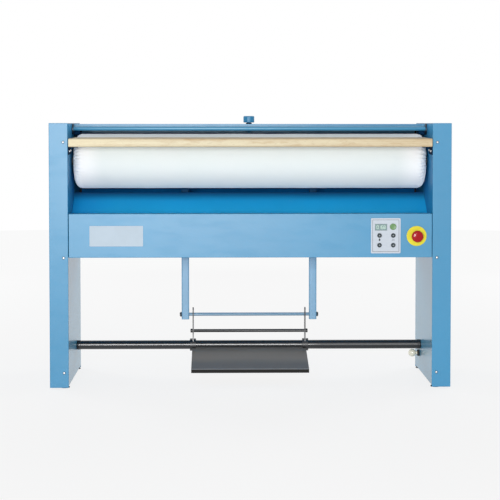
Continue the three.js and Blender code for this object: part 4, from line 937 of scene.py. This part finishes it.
class IRONER_OT_roll(bpy.types.Operator):
    """Padded roll with its core and ends"""
    bl_idname = "ironer.roll"
    bl_label = "Roll"

    def execute(self, context):
        roll_padding(context.scene.ironer_cloth)
        dress("roll_core", steel())
        for side in ("left", "right"):
            dress(f"{side}_roll_end", cast_paint(), outer=1, fine=0.8)
            dress(f"{side}_roll_bearing", cast_paint(), outer=1.2, fine=1)
        return {"FINISHED"}


# --- pieces: feed side


def finger_guard():
    """The guard tube is a rod turned about X. Each disc has a bolt on its inner face."""
    tube = "guard_tube"
    lathe(tube, round_ends(HIGH[tube][0], half_size(tube), 0.8 * MM), "X",
          powder_coat("guard_paint", "guard", 0.34, 0.5, 0.24), segments=72)
    for side, sign in SIDES:
        node = f"{side}_guard_disc"
        # Painted shade: the discs are near-black blue-grey, as they sit in the dark corner by the walls.
        dress(node, plated("disc_steel", (0.06, 0.08, 0.11), 0.34, 0.35))
        inner = HIGH[node][0] if sign < 0 else LOW[node][0]
        add_piece(f"{side}_guard_bolt", hexagon(13 * MM, 5 * MM, middle(node)[1:], inner, -sign, "X"), zinc(),
                  "finger_guard")


class IRONER_OT_feed(bpy.types.Operator):
    """Feed board, its brackets and the finger guard"""
    bl_idname = "ironer.feed"
    bl_label = "Feed board and guard"

    def execute(self, context):
        dress("feed_board", beech_wood(), outer=2.0, fine=2.0, segments=4)
        for side in ("left", "right"):
            # Painted shade: the brackets are dark matt navy, as they sit in the shade under the board's ends.
            dress(f"{side}_feed_bracket", matt_navy("bracket_paint", 16, 36, 60), outer=1)
        finger_guard()
        return {"FINISHED"}


# --- pieces: chest and drive


class IRONER_OT_chest(bpy.types.Operator):
    """Heated chest, the arms that swing it and the tie rod"""
    bl_idname = "ironer.chest"
    bl_label = "Chest, arms and tie rod"

    def execute(self, context):
        axis = (float(place) for place in middle("roll_padding")[1:])
        dress("chest_shoe", cast_shoe(*axis, half_size("roll_padding") + 12 * MM))
        # Painted shade: the chest's cover and hangers are dark matt navy, as they sit in the dark behind the roll.
        shade = matt_navy("chest_paint", 14, 58, 98)
        dress("chest_cover", shade)
        for node in ("heating_element_1", "heating_element_2"):
            lathe(node, round_ends(HIGH[node][0], half_size(node), 1 * MM), "X", steel(), segments=32)
        for side in ("left", "right"):
            dress(f"{side}_chest_hanger", shade)
            # Painted shade: the pivot pins are dark matt navy too.
            dress(f"{side}_chest_pivot_pin", matt_navy("pin_black", 14, 56, 94))
            dress(f"{side}_arm", arm_paint(0.49, 0.56), outer=1, fine=0.8)
        dress("tie_rod", rod_paint(float(HIGH["right_arm"][0])), smooth_deg=35)
        return {"FINISHED"}


class IRONER_OT_drive(bpy.types.Operator):
    """Gearmotor, sprockets and chain"""
    bl_idname = "ironer.drive"
    bl_label = "Drive"

    def execute(self, context):
        dress("gearmotor", cast_paint(), outer=2, fine=1)
        dress("drive_chain", steel(), outer=0.5, fine=0.3, segments=1)
        for node in ("roll_sprocket", "motor_sprocket"):
            dress(node, steel(), outer=0.6, segments=2)
        return {"FINISHED"}


# --- pieces: pedal


def cross_tube(material):
    """The cross tube is turned about X: a long smooth barrel between two flanges with rounded rims."""
    node = "cross_tube"
    end, flange, barrel, bore = HIGH[node][0], half_size(node), 19.2 * MM, 16.2 * MM
    near = end - 16 * MM
    line = [(-end, bore), (-end, flange), (-near, flange), (-near, barrel), (near, barrel), (near, flange),
            (end, flange), (end, bore), (-end, bore)]
    lathe(node, rounded_profile(line, 1 * MM)[:-1], "X", material)


def pedal_bar(material):
    """The bar is a rod turned about X, with a cap at each end."""
    node = "pedal_bar"
    half, cap, rod = HIGH[node][0], half_size(node), 6.8 * MM
    near = half - 9 * MM
    line = [(-half, 0), (-half, cap * 0.97), (-near, cap), (-near, rod), (near, rod), (near, cap),
            (half, cap * 0.97), (half, 0)]
    lathe(node, rounded_profile(line, 1.6 * MM), "X", material, segments=64)


class IRONER_OT_pedal(bpy.types.Operator):
    """Cross tube, levers, bar and pedal plate"""
    bl_idname = "ironer.pedal"
    bl_label = "Pedal"

    def execute(self, context):
        cross_tube(gloss_black("black_paint", 0.17, 0.04))
        for side in ("left", "right"):
            dress(f"{side}_pedal_lever", gloss_black("lever_paint", 0.32, 0.3), fine=0.6)
        dress("pedal_plate", pedal_paint(), outer=1.0, fine=0.6)
        pedal_bar(gloss_black("bar_paint", 0.42, 0.3))
        return {"FINISHED"}


# --- pieces: knobs


def ring_profile(start, end, bore, radius, end_radius, rounding):
    """The profile of a ring with rounded edges, which may be a cone outside."""
    line = [(start, bore), (start, radius), (end, end_radius), (end, bore), (start, bore)]
    return rounded_profile(line, rounding)[:-1]


def ball_knob():
    """The ball knob is turned about X: spindle, neck and a sphere whose back end blends into the neck."""
    node = "side_knob"
    radius, neck = 17 * MM, LOW["side_knob_base"][0] - 0.3 * MM
    t = np.linspace(pi, radians(27), 26)
    ball = np.stack([LOW[node][0] + radius + radius * np.cos(t), radius * np.sin(t)], 1)
    ball[0, 1] = 0
    spindle = [(neck - 2 * MM, 6.6 * MM), (neck, 7 * MM), (neck, 6 * MM), (HIGH[node][0], 6 * MM),
               (HIGH[node][0], 0)]
    cream = plastic("cream_plastic", setting("controls", "knob"), 0.2)
    lathe(node, np.vstack([ball, spindle]), "X", cream, segments=64)


class IRONER_OT_knobs(bpy.types.Operator):
    """Knob on the top cover and ball knob on the right inner wall"""
    bl_idname = "ironer.knobs"
    bl_label = "Knobs"

    def execute(self, context):
        knob = powder_coat("knob_paint", "body", 0.46, 0.15, 0.3)
        dress("top_knob", knob, outer=1.6, fine=1.2, segments=4)
        low, high = HIGH["top_cover"][2] + 0.1 * MM, HIGH["top_cover"][2] + 5.1 * MM
        ring = turned(ring_profile(low, high, 7 * MM, 13 * MM, 13 * MM, 0.7 * MM), middle("top_knob")[:2], "Z", 48)
        add_piece("top_knob_washer", ring, rubber())
        node = "side_knob_base"
        ring = ring_profile(HIGH[node][0], LOW[node][0], 6.6 * MM, 15 * MM, 13 * MM, 1.4 * MM)
        lathe(node, ring, "X", rubber(), segments=48)
        ball_knob()
        return {"FINISHED"}


# --- pieces: controls


def push_button(node, material, spot=None):
    """A push button is turned about Y: a cap whose edge is a quarter circle and whose face is a shallow dish.
    It may have a round spot in the middle."""
    front, back, radius, edge, stem = LOW[node][1], HIGH[node][1], half_size(node, 0), 1.7 * MM, 4 * MM
    inside = HIGH["control_plate"][1] + 2 * MM
    t = np.linspace(0, pi / 2, 6)
    dish = np.linspace(0, 1, 7)[:-1]
    face = np.stack([front + 0.5 * MM * (1 - dish ** 2), dish * (radius - edge)], 1)
    rim = np.stack([front + edge * (1 - np.cos(t)), radius - edge + edge * np.sin(t)], 1)
    shaft = [(inside, radius), (inside, stem), (back, stem), (back, 0)]
    lathe(node, np.vstack([face, rim, shaft]), "Y", material, 48, "cap")
    if spot:
        mark = disc(radius * 0.3, 0.15 * MM, middle(node)[[0, 2]], front + 0.52 * MM, -1, "Y", 0.05 * MM)
        add_piece(f"{node}_mark", mark, spot, BODY_OF[node])


def printed_line(outer, inner):
    """A closed line between two outlines, printed 0.12 mm proud of the control plate."""
    front = LOW["control_plate"][1]
    back, proud = front + 0.05 * MM, front - 0.12 * MM
    return stacked([(outer, back), (outer, proud), (inner, proud), (inner, back)], "Y", closed=True)


def plate_line(material):
    """The line inside the plate's edge: a rounded rectangle less a smaller one."""
    low, high = LOW["control_plate"][[0, 2]], HIGH["control_plate"][[0, 2]]
    first, second = 6.2 * MM, 7.8 * MM
    line = printed_line(rounded_rectangle(low + first, high - first, 1.8 * MM),
                        rounded_rectangle(low + second, high - second, 0.6 * MM))
    add_piece("control_plate_line", line, material)


def display_digits(material):
    """Four digits of up to seven bars each. A bar is a flat bar with pointed ends."""
    front, centre = LOW["display_window"][1], middle("display_window")[[0, 2]]
    width, height, bar, pitch, gap = 6.4 * MM, 12.5 * MM, 1.5 * MM, 9.4 * MM, 0.25 * MM
    corner = centre - (1.5 * pitch + width / 2, height / 2)
    bars = {"a": (0, 2, 1, 2), "b": (1, 1, 1, 2), "c": (1, 0, 1, 1), "d": (0, 0, 1, 0), "e": (0, 0, 0, 1),
            "f": (0, 1, 0, 2), "g": (0, 1, 1, 1)}
    shapes = []
    for place, shown in enumerate(("abcdef", "bc", "acdefg", "abcdefg")):
        for name in shown:
            ends = np.array(bars[name]).reshape(2, 2) * (width, height / 2) + corner + (place * pitch, 0)
            run = (ends[1] - ends[0]) / np.linalg.norm(ends[1] - ends[0])
            side = np.array([-run[1], run[0]]) * bar / 2
            start, end = ends[0] + run * gap, ends[1] - run * gap
            near, far = start + run * bar / 2, end - run * bar / 2
            outline = [start, near - side, far - side, end, far + side, near + side]
            shapes.append(prism(outline, (front - 0.1 * MM, front + 0.1 * MM), "Y"))
    add_piece("display_digits", joined(shapes), material)


def control_marks(material):
    """Two plain marks between the buttons: a drop, which is a circle drawn out to a point, and a ring."""
    front, size = LOW["control_plate"][1], 3.6 * MM
    left, right = (((middle(f"button_upper_{side}") + middle(f"button_lower_{side}")) / 2)[[0, 2]]
                   + (0, 1.5 * MM) for side in ("left", "right"))
    angle = np.linspace(0, 2 * pi, 32, endpoint=False)
    point = np.clip(np.sin(angle), 0, 1) ** 6
    drop = left + size * np.stack([np.cos(angle) * (1 - 0.6 * point), np.sin(angle) + point], 1)
    oval = np.stack([1.25 * np.cos(angle), 0.72 * np.sin(angle)], 1)
    shapes = [prism(drop, (front - 0.12 * MM, front + 0.05 * MM), "Y"),
              printed_line(right + 4.4 * MM * oval, right + size * oval)]
    add_piece("control_marks", joined(shapes), material)


def stop_disc():
    """The disc under the stop button is turned about Y: flat, with a chamfered rim."""
    node = "stop_disc"
    front, back, radius, bore = LOW[node][1], HIGH[node][1], half_size(node, 0), 10.6 * MM
    line = [(back, bore), (back, radius), (front + 1 * MM, radius), (front, radius - 1.4 * MM), (front, bore),
            (back, bore)]
    yellow = plastic("yellow_plastic", setting("controls", "warning"), 0.4, 0.00002, 0.25)
    lathe(node, rounded_profile(line, 0.5 * MM)[:-1], "Y", yellow)


def stop_head():
    """The mushroom is turned about Y. Its face is a wide arc that meets its rim in a small one."""
    node = "stop_head"
    front, back, radius, skirt, bore = LOW[node][1], HIGH[node][1], half_size(node, 0), 13 * MM, 8.4 * MM
    t = np.linspace(0, pi / 2, 14)
    face = np.stack([front + 6.5 * MM * (1 - np.cos(t)) ** 1.15, radius * np.sin(t)], 1)
    body = [(front + 11 * MM, radius), (front + 13.5 * MM, radius - 3 * MM), (front + 20 * MM, skirt),
            (back, skirt), (back, bore), (front + 13 * MM, bore), (front + 13 * MM, 0)]
    red = plastic("red_plastic", setting("controls", "stop"), 0.06, 0.000004, 0.27)
    lathe(node, np.vstack([face, body]), "Y", red)


class IRONER_OT_controls(bpy.types.Operator):
    """Control plate, display, push buttons and stop button"""
    bl_idname = "ironer.controls"
    bl_label = "Controls"

    def execute(self, context):
        dress("control_plate", foil("plate_silver", setting("controls", "plate")), outer=0.7, fine=0.3)
        dress("control_box", cast_paint(), outer=0.6)
        dress("display_window", display_glass(), outer=0.6)
        plate_line(foil("plate_line", setting("controls", "line")))
        display_digits(plastic("digits", setting("controls", "digit"), 0.3, 0.000005))
        control_marks(plastic("marks", (0.02, 0.025, 0.03), 0.7, 0.000005, 0.1))
        push_button("start_button", plastic("green_plastic", setting("controls", "start"), 0.26))
        dark = plastic("black_plastic", setting("controls", "button"), 0.4, 0.00002, 0.3)
        for place in ("upper_left", "upper_right", "lower_left", "lower_right"):
            push_button(f"button_{place}", dark, plastic("button_rings", (0.2, 0.23, 0.25), 0.4))
        stop_disc()
        stop_head()
        dress("stop_stem", cast_paint(), outer=0.5)
        dress("stop_contact_block", cast_paint(), outer=1)
        return {"FINISHED"}


# --- pieces: fasteners and plates


def casing_screws(side, sign):
    """Dome-headed screws in a row down the front of a casing, each on a thin dark washer, which paints a shadow round
    the head.
    """
    front, aside, heights, washer = LOW[f"{side}_casing"][1], 0.7645, (1.010, 0.537, 0.064), 0.7 * MM
    places = [(sign * aside, height) for height in heights]
    heads = [dome(4.5 * MM, 3.0 * MM, place, front - washer, -1, "Y") for place in places]
    # Painted shadow: a dark washer round each head.
    washers = [disc(5.8 * MM, washer, place, front, -1, "Y") for place in places]
    add_piece(f"{side}_casing_screws", joined(heads), zinc())
    add_piece(f"{side}_casing_washers", joined(washers), rubber())


def rear_screws():
    """Low dome-headed screws down both sides of the rear panel, three on each."""
    aside, back, heights = HIGH["rear_panel"][0] - 13 * MM, HIGH["rear_panel"][1], (0.585, 0.81, 1.035)
    heads = [dome(4.2 * MM, 1.6 * MM, (x, z), back, 1, "Y") for x in (-aside, aside) for z in heights]
    add_piece("rear_panel_screws", joined(heads), zinc())


def side_screws(side, sign):
    """Flush screws in the outer side of a casing, each with a flat dark disc in its face, which paints the shade in
    the socket.
    """
    low, high = LOW[f"{side}_casing"], HIGH[f"{side}_casing"]
    out = low[0] if sign < 0 else high[0]
    behind, heights = 38 * MM, (0.10, 0.56, 1.03)
    places = [(y, z) for y in (low[1] + behind, high[1] - behind) for z in heights]
    heads = [disc(5.2 * MM, 0.2 * MM, place, out - sign * 0.02 * MM, sign, "X", 0.08 * MM) for place in places]
    # Painted shade: a flat dark disc for each socket's hollow.
    sockets = [disc(2.2 * MM, 0.05 * MM, place, out + sign * 0.16 * MM, sign, "X", 0.01 * MM, 6)
               for place in places]
    add_piece(f"{side}_side_screws", joined(heads), zinc())
    add_piece(f"{side}_side_sockets", joined(sockets), rubber())


def bracket_bolts(side, sign):
    """Round-headed bolts through the upright leg of a bracket, one near its front and one further back."""
    low, high = LOW[f"{side}_feed_bracket"], HIGH[f"{side}_feed_bracket"]
    leg = (low[0] if sign < 0 else high[0]) - sign * 4 * MM
    bolts = [dome(5 * MM, 5 * MM, (low[1] + behind * MM, high[2] - down * MM), leg, -sign, "X")
             for behind, down in ((16, 22), (66, 19))]
    add_piece(f"{side}_bracket_bolts", joined(bolts), zinc())


def label_plate(material):
    """A bare plate with rounded corners and edges, flat on the front panel."""
    front, low, high = LOW["front_panel"][1], (-0.6586, 0.5843), (-0.4401, 0.6683)
    plate = prism(rounded_rectangle(low, high, 3 * MM), (front - 1.2 * MM, front + 0.1 * MM), "Y", edge=0.3 * MM)
    add_piece("label_plate", plate, material)


class IRONER_OT_fasteners(bpy.types.Operator):
    """Screws of the casings, bolts of the brackets and the bare label plate"""
    bl_idname = "ironer.fasteners"
    bl_label = "Fasteners and label plate"

    def execute(self, context):
        for side, sign in SIDES:
            casing_screws(side, sign)
        for side, sign in SIDES:
            bracket_bolts(side, sign)
        rear_screws()
        for side, sign in SIDES:
            side_screws(side, sign)
        label_plate(foil("label_plate", setting("controls", "label")))
        return {"FINISHED"}


# --- stage


def add_lamp(name, place, target, size, power):
    """A soft rectangular lamp at a place, facing a target. The camera doesn't see it."""
    data = bpy.data.lights.new(name, "AREA")
    data.shape = "RECTANGLE"
    data.size, data.size_y = size
    data.energy = power
    lamp = bpy.data.objects.new(name, data)
    lamp.location = place
    lamp.visible_camera = False
    lamp.rotation_euler = (Vector(target) - Vector(place)).to_track_quat("-Z", "Y").to_euler()
    bpy.context.scene.collection.objects.link(lamp)
    return lamp


def white_world(stage):
    """White where the camera, a reflection or glass sees it, and an even soft light for all else."""
    world = bpy.data.worlds.new("studio")
    bpy.context.scene.world = world
    s = Shader("studio", world)
    soft, white = (s.node("ShaderNodeBackground", inputs={"Color": (1, 1, 1), "Strength": strength})
                   for strength in (stage.fill, 1.0))
    s.show(s.node("ShaderNodeMixShader", inputs={0: s.seen(), 1: soft, 2: white}))


def pale_floor(stage):
    """A flat round pale floor. Far off it turns into the white of the background."""
    radius, white_from, white_to = 9.4, 1.6, 5.5
    angle = np.linspace(0, 2 * pi, 128, endpoint=False)
    rim = radius * np.stack([np.cos(angle), np.sin(angle), 0 * angle], 1)
    mesh = bpy.data.meshes.new("floor")
    mesh.from_pydata(rim.tolist(), [], [tuple(range(len(rim)))])
    s = Shader("floor")
    x, y, _ = s.axes()
    far = ((x * x + y * y) ** 0.5).between(white_from, white_to)
    base = s.shades(s.noise(40.0, 3.0).between(0.3, 0.7) * 0.2, setting("stage", "floor"), 1.0, 0.985)
    paint = s.node("ShaderNodeBsdfPrincipled", inputs={"Base Color": base, "Roughness": 0.55})
    white = s.node("ShaderNodeEmission", inputs={"Color": (1, 1, 1), "Strength": 0.95})
    share = far.greater(s.seen() * (1 - stage.faint))
    mesh.materials.append(s.show(s.node("ShaderNodeMixShader", inputs={0: share, 1: paint, 2: white})))
    floor = bpy.data.objects.new("floor", mesh)
    bpy.context.scene.collection.objects.link(floor)


class IRONER_OT_stage(bpy.types.Operator):
    """Camera, soft lights, pale floor and white background"""
    bl_idname = "ironer.stage"
    bl_label = "Stage"

    def execute(self, context):
        scene, stage = context.scene, context.scene.ironer_stage
        scene.view_settings.view_transform = "Standard"
        camera = bpy.data.cameras.new("camera")
        camera.lens = stage.lens
        camera.sensor_width = 36
        camera.shift_y = stage.shift
        camera.clip_end = 100
        viewer = bpy.data.objects.new("camera", camera)
        viewer.location = (-stage.aside, -stage.distance, stage.height)
        viewer.rotation_euler = (pi / 2 - stage.tilt, 0, -stage.pan)
        scene.collection.objects.link(viewer)
        scene.camera = viewer
        add_lamp("key_light", (-0.65, -6.9, 1.25), (-0.1, 0, 0.7), (2.4, 2.0), stage.key)
        for side, sign in SIDES:
            rear = add_lamp(f"rear_{side}_light", (sign * 4.6, 4.4, 2.2), (0, 0, 0.6), (2.6, 2.4), stage.key * 0.6)
            rear.visible_glossy = False
        white_world(stage)
        pale_floor(stage)
        return {"FINISHED"}


class IRONER_PT_panel(bpy.types.Panel):
    """Lists the operators and settings in the 3D view's sidebar"""
    bl_idname = "IRONER_PT_panel"
    bl_label = "Flatwork ironer"
    bl_space_type = "VIEW_3D"
    bl_region_type = "UI"
    bl_category = "Ironer"

    def draw(self, context):
        for operator in OPERATORS:
            self.layout.operator(operator.bl_idname)
        for name, group in SETTINGS.items():
            box = self.layout.box()
            box.label(text=group.__doc__)
            for key in group.__annotations__:
                box.prop(getattr(context.scene, name), key)


OPERATORS = (IRONER_OT_stage, IRONER_OT_body, IRONER_OT_front, IRONER_OT_roll, IRONER_OT_feed, IRONER_OT_chest,
             IRONER_OT_drive, IRONER_OT_pedal, IRONER_OT_knobs, IRONER_OT_controls, IRONER_OT_fasteners)


def register():
    for group in SETTINGS.values():
        bpy.utils.register_class(group)
    for name, group in SETTINGS.items():
        setattr(bpy.types.Scene, name, PointerProperty(type=group))
    for operator in OPERATORS:
        bpy.utils.register_class(operator)
    bpy.utils.register_class(IRONER_PT_panel)


def unregister():
    bpy.utils.unregister_class(IRONER_PT_panel)
    for operator in reversed(OPERATORS):
        bpy.utils.unregister_class(operator)
    for name, group in reversed(SETTINGS.items()):
        delattr(bpy.types.Scene, name)
        bpy.utils.unregister_class(group)


def main():
    register()
    for operator in OPERATORS:
        family, action = operator.bl_idname.split(".")
        getattr(getattr(bpy.ops, family), action)()


if __name__ == "__main__":
    main()
